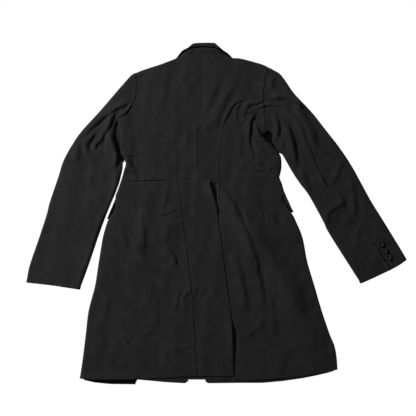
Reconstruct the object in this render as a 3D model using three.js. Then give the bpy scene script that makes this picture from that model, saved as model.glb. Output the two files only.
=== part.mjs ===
// A woman's long tailored jacket, cut like a frock coat, lying face down with its arms spread.
// Millimetres, +Z up. The table is z = 0. The origin is the middle of the garment's outline,
// on the table. +Y points to the collar, +X to the wearer's right sleeve.
//
// The cloth is a set of walls. The fronts lie flat on the table. The back, the sleeves' back
// walls and the collar lie on them, roll down to the table along each folded edge, and carry
// the folds. Neighbouring pieces stand one seam gap apart.
import * as THREE from 'three';

// ---- Driving sizes -------------------------------------------------------------------

const WALL = 2.0;             // shell, interlining and lining together
const SEAM_GAP = 0.3;         // between two pieces that are sewn to each other
const LAYER = WALL + SEAM_GAP;
const AIR = 2.4;              // space between the fronts and the back that lies on them
const ROLL_WIDTH = 9;         // a folded edge rises to full height over this distance
const UNDER_INSET = 10;       // the fronts' edges lie this far inside a folded edge
const COLLAR_WALL = 2.8;      // two cloths and their canvas
const COLLAR_SPARE = 0.2;     // air between the under collar and the leaf below it
const HEM_AIR = 0.3;          // share of the air that is left at the skirt's hem
const HEM_Y = -450;
const HEM_FADE = 70;          // height over which the skirt settles towards its hem
const PLEAT_STEP = LAYER + 0.8;   // the centre panel's rise on to the pleat's underlay
const PLEAT_RAMP = 16;        // width over which the centre panel makes that rise
const PLEAT_LEAD = 2;         // it is all the way up this far before the underlay's edge
const FLAP_WALL = 1.8;
const FLAP_SLACK = 2.5;       // how far the cloth stands off the table over a pocket flap
const BUTTON_RADIUS = 7.5;
const BUTTON_HEIGHT = 3.4;
const BUTTON_RIM = 1.3;
const BUTTON_EDGE = 0.8;        // rounding of a button's outer edges
const BUTTON_DISH = 0.7;        // depth of the dish in its face
const BUTTON_SEGMENTS = 16;
const BUTTON_GAP = 0.7;       // thread shank between a button and the cloth
const CUFF_BUTTONS = 3;

const WAIST_SLOPE = 0.0236;
const waistY = (x) => 90.5 + WAIST_SLOPE * x;

// Grid steps along each kind of edge. Two pieces that share a seam share its steps.
const STEPS = {
  armholeUpper: 4, armholeMiddle: 5, armholeLower: 3, armholeFront: 4, armholeFrontLower: 2,
  shoulder: 6, neck: 3, seam: 10, sleeve: 22, sleeveFront: 12,
  skirt: 16, skirtLeft: 16, skirtRight: 18, centrePanel: 6, underlay: 2,
  underarm: 2, frontSide: 3, front: 6, frontSkirt: 8, collar: 3, leaf: 2, leafLength: 12,
  flap: 6, flapHeight: 2,
};

// ---- Edges and seams, each a short table of points: x, y --------------------------------

const EDGES = {
  centreSeam: [[-36, 424], [-38, 382], [-41, 304], [-49, 236], [-49, 142], [-48, waistY(-48)]],

  // Left half, from the shoulder tip down.
  shoulderLeft: [[-217, 376], [-195, 385], [-146, 401], [-87, 424]],
  armholeUpperLeft: [[-217, 376], [-214, 344], [-217, 308]],
  armholeMiddleLeft: [[-217, 308], [-225, 293], [-232, 279]],
  armholeLowerLeft: [[-232, 279], [-246, 266], [-267, 250]],
  princessLeft: [[-217, 308], [-179, 301], [-149, 292], [-129, 271], [-115, 236], [-108, 190],
    [-104, waistY(-104)]],
  sideSeamLeft: [[-232, 279], [-222, 234], [-213, 163], [-211, waistY(-211)]],
  sideFoldLeft: [[-267, 250], [-258, 207], [-257, 165], [-244, 136], [-249, 112],
    [-257, waistY(-257)]],
  underarmLeft: [[-267, 250], [-266, 228], [-263, 190], [-247, 138]],

  // Right half.
  shoulderRight: [[21, 424], [43, 417], [66, 415], [119, 401], [141, 391]],
  armholeUpperRight: [[141, 391], [133, 363], [126, 317], [127, 305]],
  armholeMiddleRight: [[127, 305], [128, 290], [130, 277]],
  armholeLowerRight: [[130, 277], [132, 255], [134, 235]],
  princessRight: [[127, 305], [88, 304], [57, 294], [36, 270], [22, 234], [13, 188],
    [7, waistY(7)]],
  sideSeamRight: [[130, 277], [110, 236], [102, 188], [102, 150], [105, waistY(105)]],
  sideFoldRight: [[134, 235], [130, 218], [138, 197], [164, 169], [174, 150], [176, 125],
    [174, 110], [170, waistY(170)]],
  underarmRight: [[134, 235], [141, 207], [155, 183], [171, 160]],

  // Skirt, from the waist seam down to the hem.
  skirtFoldLeft: [[-257, waistY(-257)], [-265, 61], [-272, 44], [-273, 28], [-291, -14],
    [-306, -69], [-317, -134], [-327, -198], [-344, -263], [-352, -328], [-360, -393],
    [-368, -448]],
  skirtFoldRight: [[170, waistY(170)], [178, 77], [184, 61], [179, 44], [206, 3], [216, -14],
    [233, -69], [246, -134], [265, -198], [284, -263], [306, -328], [319, -360], [325, -393],
    [327, -424]],
  pleatLeft: [[-104, waistY(-104)], [-92, 1], [-80, -93], [-65, -215], [-57, -336], [-51, -441]],
  pleatRight: [[-14, waistY(-14)], [-1, 28], [12, -69], [26, -174], [40, -279], [46, -398],
    [46, -441]],
  underlayLeft: [[-32, waistY(-32)], [-36, 20], [-43, -101], [-44, -209], [-46, -320], [-49, -385],
    [-68, -420], [-73, -451]],
  underlayRight: [[8, waistY(8)], [9, 20], [-3, -101], [-14, -209], [-30, -320], [-33, -370],
    [-33, -451]],
  hemLeft: [[-368, -448], [-314, -450], [-214, -449], [-138, -446], [-51, -441]],
  hemRight: [[-33, -451], [64, -453], [124, -451], [199, -444], [259, -437], [327, -424]],
  frontEdgeLeft: [[-45, 414], [-45, 300], [-46, 180], [-45, waistY(-45)]],
  frontEdgeRight: [[-39, 414], [-39, 300], [-39, 180], [-39, waistY(-39)]],
  frontSkirtEdgeLeft: [[-45, waistY(-45)], [-52, -100], [-67, -300], [-76, -455]],
  frontSkirtEdgeRight: [[-39, waistY(-39)], [-36, -100], [-31, -300], [-29, -456]],

  // Sleeves, from the armhole down to the cuff.
  sleeveOuterLeft: [[-217, 376], [-230, 369], [-260, 336], [-316, 271], [-360, 223], [-384, 190],
    [-411, 142], [-427, 93], [-449, 28], [-457, -4], [-478, -69], [-503, -142], [-512, -189]],
  sleeveInnerLeft: [[-267, 250], [-276, 224], [-271, 174], [-252, 132], [-258, 93], [-268, 61],
    [-295, -4], [-319, -69], [-341, -134], [-368, -208]],
  cuffLeft: [[-512, -189], [-449, -196], [-408, -202], [-368, -208]],
  sleeveOuterRight: [[141, 391], [153, 385], [176, 369], [211, 320], [257, 271], [295, 223],
    [333, 174], [365, 126], [392, 77], [419, 28], [449, -20], [479, -69], [508, -117], [512, -129]],
  sleeveInnerRight: [[134, 235], [149, 204], [164, 173], [178, 155], [186, 142], [205, 109],
    [226, 77], [250, 45], [286, -20], [302, -53], [342, -117], [390, -192]],
  sleeveSeamRight: [[127, 305], [183, 261], [240, 198], [294, 126], [342, 50], [402, -48],
    [472, -154]],
  cuffUpperRight: [[512, -129], [493, -142], [472, -154]],
  cuffUnderRight: [[472, -154], [423, -177], [390, -192]],

  // The fronts' own edges, under the back and the sleeves.
  armholeFrontLeft: [[-216, 364], [-214, 344], [-217, 308], [-232, 279]],
  armholeFrontRight: [[138, 378], [133, 355], [126, 317], [130, 277]],
  frontShoulderLeft: [[-216, 364], [-146, 390], [-87, 413], [-45, 414]],
  frontShoulderRight: [[-39, 414], [21, 413], [64, 403], [116, 389], [138, 378]],
  frontSideLeft: [[-247, 138], [-238, 125], [-241, 108], [-244, waistY(-244)]],
  frontSideRight: [[171, 160], [167, 140], [165, 115], [160, waistY(160)]],
  sleeveFrontInnerLeft: [[-247, 138], [-262, 124], [-276, 84], [-313, -1], [-348, -109],
    [-380, -204]],
  sleeveFrontInnerRight: [[171, 160], [190, 147], [226, 98], [270, 31], [312, -45], [358, -121],
    [397, -184]],

  // Collar, standing away from the neck seam.
  neckLeft: [[-87, 424], [-60, 424], [-36, 424]],
  neckRight: [[-36, 424], [-8, 424], [21, 424]],
  collarRollLeft: [[-95, 429], [-71, 441], [-36, 447]],
  collarRollRight: [[-36, 447], [7, 441], [34, 428]],
  leafTop: [[-108, 417], [-103, 425], [-90, 439], [-76, 450], [-62, 458], [-30, 460], [-2, 460],
    [14, 447], [33, 433], [45, 422]],
  leafBottom: [[-110, 415], [-87, 426], [-60, 426], [-8, 426], [22, 427], [47, 419]],
};

// The fronts' hems show below the back's: the left one steps in where its facing starts.
const FRONT_HEM_LEFT = [[-358, -452], [-327, -457], [-287, -460], [-219, -460.5], [-213, -451],
  [-179, -454], [-138, -458], [-84, -461], [-76, -455]];
const FRONT_HEM_RIGHT = [[-29, -456], [-22, -461], [64, -460], [124, -460], [180, -455],
  [230, -448], [270, -440], [300, -433], [317, -428]];

// Folds that stand up from the cloth, or sink where the height is negative.
// Each runs from one point, via a second, to a third, and fades out at both ends.
const FOLD_COLUMNS = ['fromX', 'fromY', 'viaX', 'viaY', 'toX', 'toY', 'height', 'width'];
const FOLDS = [
  // skirt, right of the pleat
  [20, 78, 91, -88, 134, -263, 6.5, 18],
  [64, 34, 145, -88, 294, -344, -2.2, 30],
  [43, -74, 64, -142, 86, -263, 3.5, 13],
  [145, -209, 159, -290, 167, -339, 3.5, 16],
  [110, 82, 118, 34, 126, -7, 3.0, 9],
  [210, -90, 235, -200, 262, -300, 3.5, 20],
  [70, -330, 82, -390, 90, -450, 3.0, 20],
  [215, -340, 232, -390, 240, -435, 3.0, 18],
  // skirt, left of the pleat
  [-206, 24, -198, -34, -195, -101, 5.5, 13],
  [-260, -20, -246, -88, -233, -182, 4.5, 18],
  [-222, -88, -206, -142, -152, -150, 4.5, 12],
  [-130, -88, -111, -115, -106, -142, 3.0, 11],
  [-119, 78, -133, 34, -144, 2, 3.5, 11],
  [-173, -182, -176, -209, -179, -240, 3.5, 12],
  [-246, -344, -233, -358, -212, -372, 3.0, 12],
  [-130, -330, -138, -390, -142, -444, 3.0, 20],
  [-290, -300, -302, -380, -308, -444, 3.5, 18],
  // bodice
  [59, 382, 24, 331, -14, 272, 5.0, 12],
  [64, 346, 20, 277, -32, 200, 6.0, 11],
  [66, 302, 43, 286, 24, 236, 3.0, 10],
  [59, 142, 97, 109, 151, 123, 4.5, 10],
  [-44, 388, -71, 365, -98, 340, 3.0, 18],
  [-246, 144, -230, 125, -214, 106, 3.5, 9],
  [-160, 270, -172, 200, -176, 120, 2.5, 18],
  // left sleeve
  [-222, 304, -300, 262, -378, 188, 7.5, 14],
  [-230, 293, -252, 272, -268, 258, 4.0, 9],
  [-282, 252, -298, 212, -316, 184, -2.2, 9],
  [-327, 198, -338, 174, -304, 146, 4.0, 10],
  [-336, 118, -338, 95, -341, 70, 3.5, 11],
  [-408, 132, -406, 80, -404, 30, 3.5, 13],
  [-452, -60, -436, -110, -428, -160, 3.0, 14],
  // right sleeve
  [132, 309, 186, 303, 228, 283, 6.0, 12],
  [131, 284, 214, 250, 278, 112, 7.5, 14],
  [199, 238, 208, 190, 205, 128, -2.2, 10],
  [240, 184, 275, 165, 309, 145, 5.0, 11],
  [350, 144, 322, 101, 312, 58, 4.5, 12],
  [361, 104, 380, 47, 377, 4, 4.5, 12],
  [306, 24, 321, -7, 336, -38, 4.0, 16],
].map((row) => Object.fromEntries(row.map((value, i) => [FOLD_COLUMNS[i], value])));

// Places where the cloth lies over something: x, y, half sizes and the lift.
const FLAP_REST = [
  { x: 146, y: 14, halfX: 98, halfY: 66, lift: FLAP_SLACK },
  { x: -228, y: -4, halfX: 98, halfY: 66, lift: FLAP_SLACK },
];
const UNDERARM_REST = [
  { x: -262, y: 188, halfX: 30, halfY: 74, lift: LAYER + SEAM_GAP },
  { x: 154, y: 190, halfX: 46, halfY: 64, lift: LAYER + SEAM_GAP },
];
const REST_FADE = 1.45;       // a lift has faded out at this multiple of its half sizes
const BACK_SPREAD = 1.15;     // the back starts to rise a little sooner than the front below it

// Pocket flaps: the end that shows past the side, then the end under the front.
const FLAPS = {
  left: { endTop: [-277, 33], endBottom: [-296, -18], frontTop: [-160, 6], frontBottom: [-174, -44] },
  right: { endTop: [190, 49], endBottom: [213, -3], frontTop: [74, 26], frontBottom: [92, -26] },
};

// The first and last of the cuff's buttons.
const BUTTON_ROW = { from: [443, -85], to: [464, -121] };

// ---- Curves ----------------------------------------------------------------------------

const toPoint = ([x, y]) => new THREE.Vector2(x, y);

const edge = (name, steps) => new THREE.SplineCurve(EDGES[name].map(toPoint)).getSpacedPoints(steps);

function straight(from, to, steps) {
  return Array.from({ length: steps + 1 }, (_, i) => from.clone().lerp(to, i / steps));
}

// Runs several edges on end to end, keeping each shared corner once.
function join(...edges) {
  return edges.reduce((whole, next) => whole.concat(next.slice(1)));
}

// The same run with its two ends put elsewhere.
const withEnds = (points, first, last) => [first, ...points.slice(1, -1), last];

// Moves a run of points sideways: positive is to the left of the way it runs.
function shifted(points, distance) {
  return points.map((point, i) => {
    const before = points[Math.max(i - 1, 0)];
    const after = points[Math.min(i + 1, points.length - 1)];
    const along = after.clone().sub(before).normalize();
    return new THREE.Vector2(point.x - along.y * distance, point.y + along.x * distance);
  });
}

// A point on a run of points, by step number, whole or not.
function pointAt(points, step) {
  const i = Math.min(Math.floor(step), points.length - 2);
  return points[i].clone().lerp(points[i + 1], step - i);
}

function distanceTo(points, x, y) {
  let nearest = { distance: Infinity, along: 0 };
  for (let i = 0; i < points.length - 1; i += 1) {
    const a = points[i];
    const b = points[i + 1];
    const dx = b.x - a.x;
    const dy = b.y - a.y;
    const part = THREE.MathUtils.clamp(
      ((x - a.x) * dx + (y - a.y) * dy) / (dx * dx + dy * dy), 0, 1);
    const distance = Math.hypot(x - a.x - dx * part, y - a.y - dy * part);
    if (distance < nearest.distance) {
      nearest = { distance, along: (i + part) / (points.length - 1) };
    }
  }
  return nearest;
}

// ---- Height of the cloth ------------------------------------------------------------------

const COLLAR_ENDS = 4;         // steps of each shoulder, next to the collar, that stay open
const FOLDED_EDGES = [
  edge('shoulderLeft', STEPS.sleeve).slice(0, -COLLAR_ENDS),
  edge('shoulderRight', STEPS.sleeve).slice(COLLAR_ENDS),
  ...['sideFoldLeft', 'sideFoldRight', 'skirtFoldLeft', 'skirtFoldRight', 'sleeveOuterLeft',
    'sleeveInnerLeft', 'sleeveOuterRight', 'sleeveInnerRight'].map(
    (name) => edge(name, STEPS.sleeve)),
];

const FOLD_STEPS = 8;
const FOLD_FADE = 0.25;       // share of a fold's length over which each end fades

const foldLines = FOLDS.map((fold) => {
  const from = new THREE.Vector2(fold.fromX, fold.fromY);
  const to = new THREE.Vector2(fold.toX, fold.toY);
  const via = new THREE.Vector2(fold.viaX, fold.viaY);
  const pull = via.multiplyScalar(2).sub(from.clone().add(to).multiplyScalar(0.5));
  return new THREE.QuadraticBezierCurve(from, pull, to).getPoints(FOLD_STEPS);
});

function foldHeight(x, y) {
  let height = 0;
  FOLDS.forEach((fold, i) => {
    const { distance, along } = distanceTo(foldLines[i], x, y);
    const fade = THREE.MathUtils.smoothstep(along, 0, FOLD_FADE)
      * THREE.MathUtils.smoothstep(1 - along, 0, FOLD_FADE);
    height += fold.height * fade * Math.exp(-((distance / fold.width) ** 2));
  });
  return height;
}

function restLift(rests, x, y, spread = 1) {
  return rests.reduce((lift, rest) => {
    const reach = Math.hypot((x - rest.x) / rest.halfX, (y - rest.y) / rest.halfY) / spread;
    return lift + rest.lift * (1 - THREE.MathUtils.smoothstep(reach, 1, REST_FADE));
  }, 0);
}

// How far the folded edge has risen at a place: 0 on the edge, 1 past the roll.
function rolled(x, y) {
  const distance = Math.min(...FOLDED_EDGES.map((points) => distanceTo(points, x, y).distance));
  const rest = 1 - Math.min(distance / ROLL_WIDTH, 1);
  return Math.sqrt(1 - rest * rest);
}

// Lower face of the pieces that lie on the table.
const frontFloor = (x, y) => restLift(FLAP_REST, x, y);

// Lower face of the pieces that show: the back, the skirt and the sleeves' back walls.
function backFloor(x, y) {
  const lift = restLift(FLAP_REST, x, y, BACK_SPREAD) + restLift(UNDERARM_REST, x, y);
  const settled = HEM_AIR + (1 - HEM_AIR) * THREE.MathUtils.smoothstep(y, HEM_Y, HEM_Y + HEM_FADE);
  const air = Math.max(AIR * settled + foldHeight(x, y), SEAM_GAP);
  return lift + rolled(x, y) * (LAYER + air);
}

// Near the hem the pleat's underlay sinks to the table, between the two fronts.
const UNDERLAY_DROP = { from: -325, to: -375 };
const underlayFloor = (x, y) => backFloor(x, y)
  * THREE.MathUtils.smoothstep(y, UNDERLAY_DROP.to, UNDERLAY_DROP.from);

// Where a line of rows that runs downwards is at one height.
function xAtHeight(rows, y) {
  return rows.slice(1).reduce((x, [toX, toY], i) => {
    const [fromX, fromY] = rows[i];
    const share = THREE.MathUtils.clamp((fromY - y) / (fromY - toY), 0, 1);
    return x + share * (toX - fromX);
  }, rows[0][0]);
}

// The centre panel climbs on to the pleat's underlay and the right skirt.
function centreFloor(x, y) {
  const top = xAtHeight(EDGES.underlayLeft, y) - PLEAT_LEAD;
  const rise = THREE.MathUtils.smoothstep(x, top - PLEAT_RAMP, top);
  return backFloor(x, y) + PLEAT_STEP * rise;
}

// ---- Walls -------------------------------------------------------------------------------

// Grid lines at whole steps, with one more half a step in from a folded edge.
function gridLines(steps, foldedStart, foldedEnd) {
  const lines = Array.from({ length: steps + 1 }, (_, i) => i);
  if (foldedStart) lines.splice(1, 0, 0.5);
  if (foldedEnd) lines.splice(lines.length - 1, 0, steps - 0.5);
  return lines;
}

// Fills the space between four edges. Top and bottom run left to right, left and right run
// downwards. Points on the border are drawn in by half a seam gap.
function patch({ top, bottom, left, right, folded = {} }) {
  const across = gridLines(top.length - 1, folded.left, folded.right);
  const down = gridLines(left.length - 1, folded.top, folded.bottom);
  const corner = (points, last) => points[last ? points.length - 1 : 0];
  const place = (i, j) => {
    const u = i / (top.length - 1);
    const v = j / (left.length - 1);
    const point = new THREE.Vector2();
    point.addScaledVector(pointAt(top, i), 1 - v).addScaledVector(pointAt(bottom, i), v);
    point.addScaledVector(pointAt(left, j), 1 - u).addScaledVector(pointAt(right, j), u);
    point.addScaledVector(corner(top, false), -(1 - u) * (1 - v));
    point.addScaledVector(corner(top, true), -u * (1 - v));
    point.addScaledVector(corner(bottom, false), -(1 - u) * v);
    point.addScaledVector(corner(bottom, true), -u * v);
    return point;
  };
  const grid = down.map((j) => across.map((i) => place(i, j)));
  return drawnIn(grid, SEAM_GAP / 2);
}

function drawnIn(grid, distance) {
  const lastRow = grid.length - 1;
  const lastColumn = grid[0].length - 1;
  return grid.map((row, r) => row.map((point, c) => {
    const moved = point.clone();
    const towards = (other) => moved.addScaledVector(other.clone().sub(point).normalize(), distance);
    if (c === 0) towards(row[1]);
    if (c === lastColumn) towards(row[c - 1]);
    if (r === 0) towards(grid[1][c]);
    if (r === lastRow) towards(grid[r - 1][c]);
    return moved;
  }));
}

// A wall of one thickness over a grid of places, as one closed body.
function wallGeometry(grid, floor, thickness = WALL) {
  const rows = grid.length;
  const columns = grid[0].length;
  const positions = [];
  const lower = grid.flat().map((point) => floor(point.x, point.y));
  [thickness, 0].forEach((rise) => grid.flat().forEach((point, i) => {
    positions.push(point.x, point.y, lower[i] + rise);
  }));
  const topAt = (r, c) => r * columns + c;
  const underAt = (r, c) => rows * columns + topAt(r, c);
  const index = [];
  const quad = (a, b, c, d) => index.push(a, b, c, a, c, d);
  for (let r = 0; r < rows - 1; r += 1) {
    for (let c = 0; c < columns - 1; c += 1) {
      quad(topAt(r, c), topAt(r + 1, c), topAt(r + 1, c + 1), topAt(r, c + 1));
      quad(underAt(r, c), underAt(r, c + 1), underAt(r + 1, c + 1), underAt(r + 1, c));
    }
    quad(topAt(r, 0), underAt(r, 0), underAt(r + 1, 0), topAt(r + 1, 0));
    quad(topAt(r, columns - 1), topAt(r + 1, columns - 1), underAt(r + 1, columns - 1),
      underAt(r, columns - 1));
  }
  for (let c = 0; c < columns - 1; c += 1) {
    quad(topAt(0, c), topAt(0, c + 1), underAt(0, c + 1), underAt(0, c));
    quad(topAt(rows - 1, c), underAt(rows - 1, c), underAt(rows - 1, c + 1),
      topAt(rows - 1, c + 1));
  }
  const geometry = new THREE.BufferGeometry();
  geometry.setAttribute('position', new THREE.Float32BufferAttribute(positions, 3));
  geometry.setIndex(index);
  geometry.computeVertexNormals();
  return geometry;
}

// ---- Materials and nodes --------------------------------------------------------------------

const CLOTH = { color: 0x262425, roughness: 0.9, metalness: 0 };
const BUTTON = { color: 0x0e0e0f, roughness: 0.25, metalness: 0 };

function mesh(name, geometry, finish) {
  const node = new THREE.Mesh(geometry, new THREE.MeshStandardMaterial(finish));
  node.name = name;
  return node;
}

const clothPiece = (name, edges, floor, thickness) => mesh(
  name, wallGeometry(patch(edges), floor, thickness), CLOTH);

const waistLine = (fromX, toX, steps) => straight(
  new THREE.Vector2(fromX, waistY(fromX)), new THREE.Vector2(toX, waistY(toX)), steps);

// ---- Bodice ------------------------------------------------------------------------------

function bodiceBack() {
  const rows = STEPS.armholeUpper + STEPS.seam;
  const centre = edge('centreSeam', rows);
  const columns = STEPS.shoulder + STEPS.neck;
  return [
    clothPiece('back_left', {
      top: join(edge('shoulderLeft', STEPS.shoulder), edge('neckLeft', STEPS.neck)),
      bottom: waistLine(-104, -48, columns),
      left: join(edge('armholeUpperLeft', STEPS.armholeUpper), edge('princessLeft', STEPS.seam)),
      right: centre,
      folded: { top: true },
    }, backFloor),
    clothPiece('back_right', {
      top: join(edge('neckRight', STEPS.neck), edge('shoulderRight', STEPS.shoulder)),
      bottom: waistLine(-48, 7, columns),
      left: centre,
      right: join(edge('armholeUpperRight', STEPS.armholeUpper), edge('princessRight', STEPS.seam)),
      folded: { top: true },
    }, backFloor),
  ];
}

function bodiceSides() {
  return [
    clothPiece('side_back_left', {
      top: edge('armholeMiddleLeft', STEPS.armholeMiddle).reverse(),
      bottom: waistLine(-211, -104, STEPS.armholeMiddle),
      left: edge('sideSeamLeft', STEPS.seam),
      right: edge('princessLeft', STEPS.seam),
    }, backFloor),
    clothPiece('side_back_right', {
      top: edge('armholeMiddleRight', STEPS.armholeMiddle),
      bottom: waistLine(7, 105, STEPS.armholeMiddle),
      left: edge('princessRight', STEPS.seam),
      right: edge('sideSeamRight', STEPS.seam),
    }, backFloor),
    clothPiece('side_left', {
      top: edge('armholeLowerLeft', STEPS.armholeLower).reverse(),
      bottom: waistLine(-257, -211, STEPS.armholeLower),
      left: edge('sideFoldLeft', STEPS.seam),
      right: edge('sideSeamLeft', STEPS.seam),
      folded: { left: true },
    }, backFloor),
    clothPiece('side_right', {
      top: edge('armholeLowerRight', STEPS.armholeLower),
      bottom: waistLine(105, 170, STEPS.armholeLower),
      left: edge('sideSeamRight', STEPS.seam),
      right: edge('sideFoldRight', STEPS.seam),
      folded: { right: true },
    }, backFloor),
  ];
}

function bodiceFronts() {
  const underarm = (side) => edge(`underarm${side}`, STEPS.underarm);
  const outer = (side) => join(
    edge(`armholeFront${side}`, STEPS.armholeFront),
    edge(`armholeLower${side}`, STEPS.armholeFrontLower), underarm(side),
    edge(`frontSide${side}`, STEPS.frontSide));
  const rows = outer('Left').length - 1;
  return [
    clothPiece('front_left', {
      top: edge('frontShoulderLeft', STEPS.front),
      bottom: waistLine(-244, -45, STEPS.front),
      left: outer('Left'),
      right: edge('frontEdgeLeft', rows),
    }, frontFloor),
    clothPiece('front_right', {
      top: edge('frontShoulderRight', STEPS.front),
      bottom: waistLine(-39, 160, STEPS.front),
      left: edge('frontEdgeRight', rows),
      right: outer('Right'),
    }, frontFloor),
  ];
}

// ---- Skirt -------------------------------------------------------------------------------

function skirtBack() {
  const pleatLeft = edge('pleatLeft', STEPS.skirt);
  const pleatRight = edge('pleatRight', STEPS.skirt);
  const underlayLeft = edge('underlayLeft', STEPS.skirt);
  const underlayRight = edge('underlayRight', STEPS.skirt);
  return [
    clothPiece('skirt_left', {
      top: waistLine(-257, -104, STEPS.skirtLeft),
      bottom: edge('hemLeft', STEPS.skirtLeft),
      left: edge('skirtFoldLeft', STEPS.skirt),
      right: pleatLeft,
      folded: { left: true },
    }, backFloor),
    clothPiece('skirt_centre', {
      top: waistLine(-104, -14, STEPS.centrePanel),
      bottom: straight(pleatLeft.at(-1), pleatRight.at(-1), STEPS.centrePanel),
      left: pleatLeft,
      right: pleatRight,
    }, centreFloor),
    clothPiece('pleat_underlay', {
      top: waistLine(-32, 8, STEPS.underlay),
      bottom: straight(underlayLeft.at(-1), underlayRight.at(-1), STEPS.underlay),
      left: underlayLeft,
      right: underlayRight,
    }, underlayFloor),
    clothPiece('skirt_right', {
      top: waistLine(8, 170, STEPS.skirtRight),
      bottom: edge('hemRight', STEPS.skirtRight),
      left: underlayRight,
      right: edge('skirtFoldRight', STEPS.skirt),
      folded: { right: true },
    }, backFloor),
  ];
}

function skirtFronts() {
  const top = {
    left: waistLine(-244, -45, STEPS.frontSkirt),
    right: waistLine(-39, 160, STEPS.frontSkirt),
  };
  const hem = { left: FRONT_HEM_LEFT.map(toPoint), right: FRONT_HEM_RIGHT.map(toPoint) };
  const inset = {
    left: shifted(edge('skirtFoldLeft', STEPS.frontSkirt), UNDER_INSET),
    right: shifted(edge('skirtFoldRight', STEPS.frontSkirt), -UNDER_INSET),
  };
  return [
    clothPiece('skirt_front_left', {
      top: top.left,
      bottom: hem.left,
      left: withEnds(inset.left, top.left[0], hem.left[0]),
      right: edge('frontSkirtEdgeLeft', STEPS.frontSkirt),
    }, frontFloor),
    clothPiece('skirt_front_right', {
      top: top.right,
      bottom: hem.right,
      left: edge('frontSkirtEdgeRight', STEPS.frontSkirt),
      right: withEnds(inset.right, top.right.at(-1), hem.right.at(-1)),
    }, frontFloor),
  ];
}

function pocketFlap(name, leftTop, leftBottom, rightTop, rightBottom) {
  const [a, b, c, d] = [leftTop, leftBottom, rightTop, rightBottom].map(toPoint);
  return clothPiece(name, {
    top: straight(a, c, STEPS.flap),
    bottom: straight(b, d, STEPS.flap),
    left: straight(a, b, STEPS.flapHeight),
    right: straight(c, d, STEPS.flapHeight),
  }, () => 0, FLAP_WALL);
}

function pocketFlaps() {
  const { left, right } = FLAPS;
  return [
    pocketFlap('pocket_flap_left', left.endTop, left.endBottom, left.frontTop, left.frontBottom),
    pocketFlap('pocket_flap_right', right.frontTop, right.frontBottom, right.endTop,
      right.endBottom),
  ];
}

// ---- Sleeves -----------------------------------------------------------------------------

function sleeveLeft() {
  const armhole = join(
    edge('armholeUpperLeft', STEPS.armholeUpper), edge('armholeMiddleLeft', STEPS.armholeMiddle));
  const armholeFront = edge('armholeFrontLeft', STEPS.armholeFront);
  const innerBack = join(
    edge('armholeLowerLeft', STEPS.armholeLower),
    edge('sleeveInnerLeft', STEPS.sleeve - STEPS.armholeLower));
  const innerFront = join(
    edge('armholeLowerLeft', STEPS.armholeFrontLower), edge('underarmLeft', STEPS.underarm),
    edge('sleeveFrontInnerLeft', STEPS.sleeveFront - STEPS.armholeFrontLower - STEPS.underarm));
  const outer = shifted(edge('sleeveOuterLeft', STEPS.sleeveFront), UNDER_INSET);
  return [
    clothPiece('sleeve_left_back', {
      top: armhole,
      bottom: edge('cuffLeft', armhole.length - 1),
      left: edge('sleeveOuterLeft', STEPS.sleeve),
      right: innerBack,
      folded: { left: true, right: true },
    }, backFloor),
    clothPiece('sleeve_left_front', {
      top: armholeFront,
      bottom: withEnds(edge('cuffLeft', STEPS.armholeFront), outer.at(-1), innerFront.at(-1)),
      left: withEnds(outer, armholeFront[0], outer.at(-1)),
      right: innerFront,
    }, frontFloor),
  ];
}

function sleeveRight() {
  const armholeUnder = join(
    edge('armholeMiddleRight', STEPS.armholeMiddle),
    edge('armholeLowerRight', STEPS.armholeLower)).reverse();
  const armholeUpper = edge('armholeUpperRight', STEPS.armholeUpper).reverse();
  const armholeFront = join(
    edge('armholeFrontRight', STEPS.armholeFront),
    edge('armholeLowerRight', STEPS.armholeFrontLower)).reverse();
  const seam = edge('sleeveSeamRight', STEPS.sleeve);
  const inner = join(
    edge('underarmRight', STEPS.underarm),
    edge('sleeveFrontInnerRight', STEPS.sleeveFront - STEPS.underarm));
  const outer = shifted(edge('sleeveOuterRight', STEPS.sleeveFront), -UNDER_INSET);
  const cuffFront = straight(inner.at(-1), outer.at(-1), armholeFront.length - 1);
  return [
    clothPiece('sleeve_right_under', {
      top: armholeUnder,
      bottom: edge('cuffUnderRight', armholeUnder.length - 1).reverse(),
      left: edge('sleeveInnerRight', STEPS.sleeve),
      right: seam,
      folded: { left: true },
    }, backFloor),
    clothPiece('sleeve_right_upper', {
      top: armholeUpper,
      bottom: edge('cuffUpperRight', armholeUpper.length - 1).reverse(),
      left: seam,
      right: edge('sleeveOuterRight', STEPS.sleeve),
      folded: { right: true },
    }, backFloor),
    clothPiece('sleeve_right_front', {
      top: armholeFront,
      bottom: cuffFront,
      left: inner,
      right: withEnds(outer, armholeFront.at(-1), outer.at(-1)),
    }, frontFloor),
  ];
}

function cuffButton(index) {
  const share = index / (CUFF_BUTTONS - 1);
  const place = toPoint(BUTTON_ROW.from).lerp(toPoint(BUTTON_ROW.to), share);
  const rim = BUTTON_RADIUS - BUTTON_RIM;
  const face = BUTTON_HEIGHT - BUTTON_DISH;
  const profile = [
    [0, 0], [BUTTON_RADIUS - BUTTON_EDGE, 0], [BUTTON_RADIUS, BUTTON_EDGE],
    [BUTTON_RADIUS, BUTTON_HEIGHT - BUTTON_EDGE], [BUTTON_RADIUS - BUTTON_EDGE, BUTTON_HEIGHT],
    [rim, BUTTON_HEIGHT], [rim - BUTTON_DISH, face], [0, face],
  ].map(toPoint);
  const button = mesh(`cuff_button_${index + 1}`,
    new THREE.LatheGeometry(profile, BUTTON_SEGMENTS), BUTTON);
  button.rotation.x = Math.PI / 2;
  button.position.set(place.x, place.y, backFloor(place.x, place.y) + WALL + BUTTON_GAP);
  return button;
}

// ---- Collar ------------------------------------------------------------------------------

const COLLAR_FLOOR = COLLAR_WALL + SEAM_GAP + COLLAR_SPARE;
const NECK_Y = EDGES.neckLeft[0][1];
const ROLL_Y = EDGES.collarRollLeft.at(-1)[1];

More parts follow.
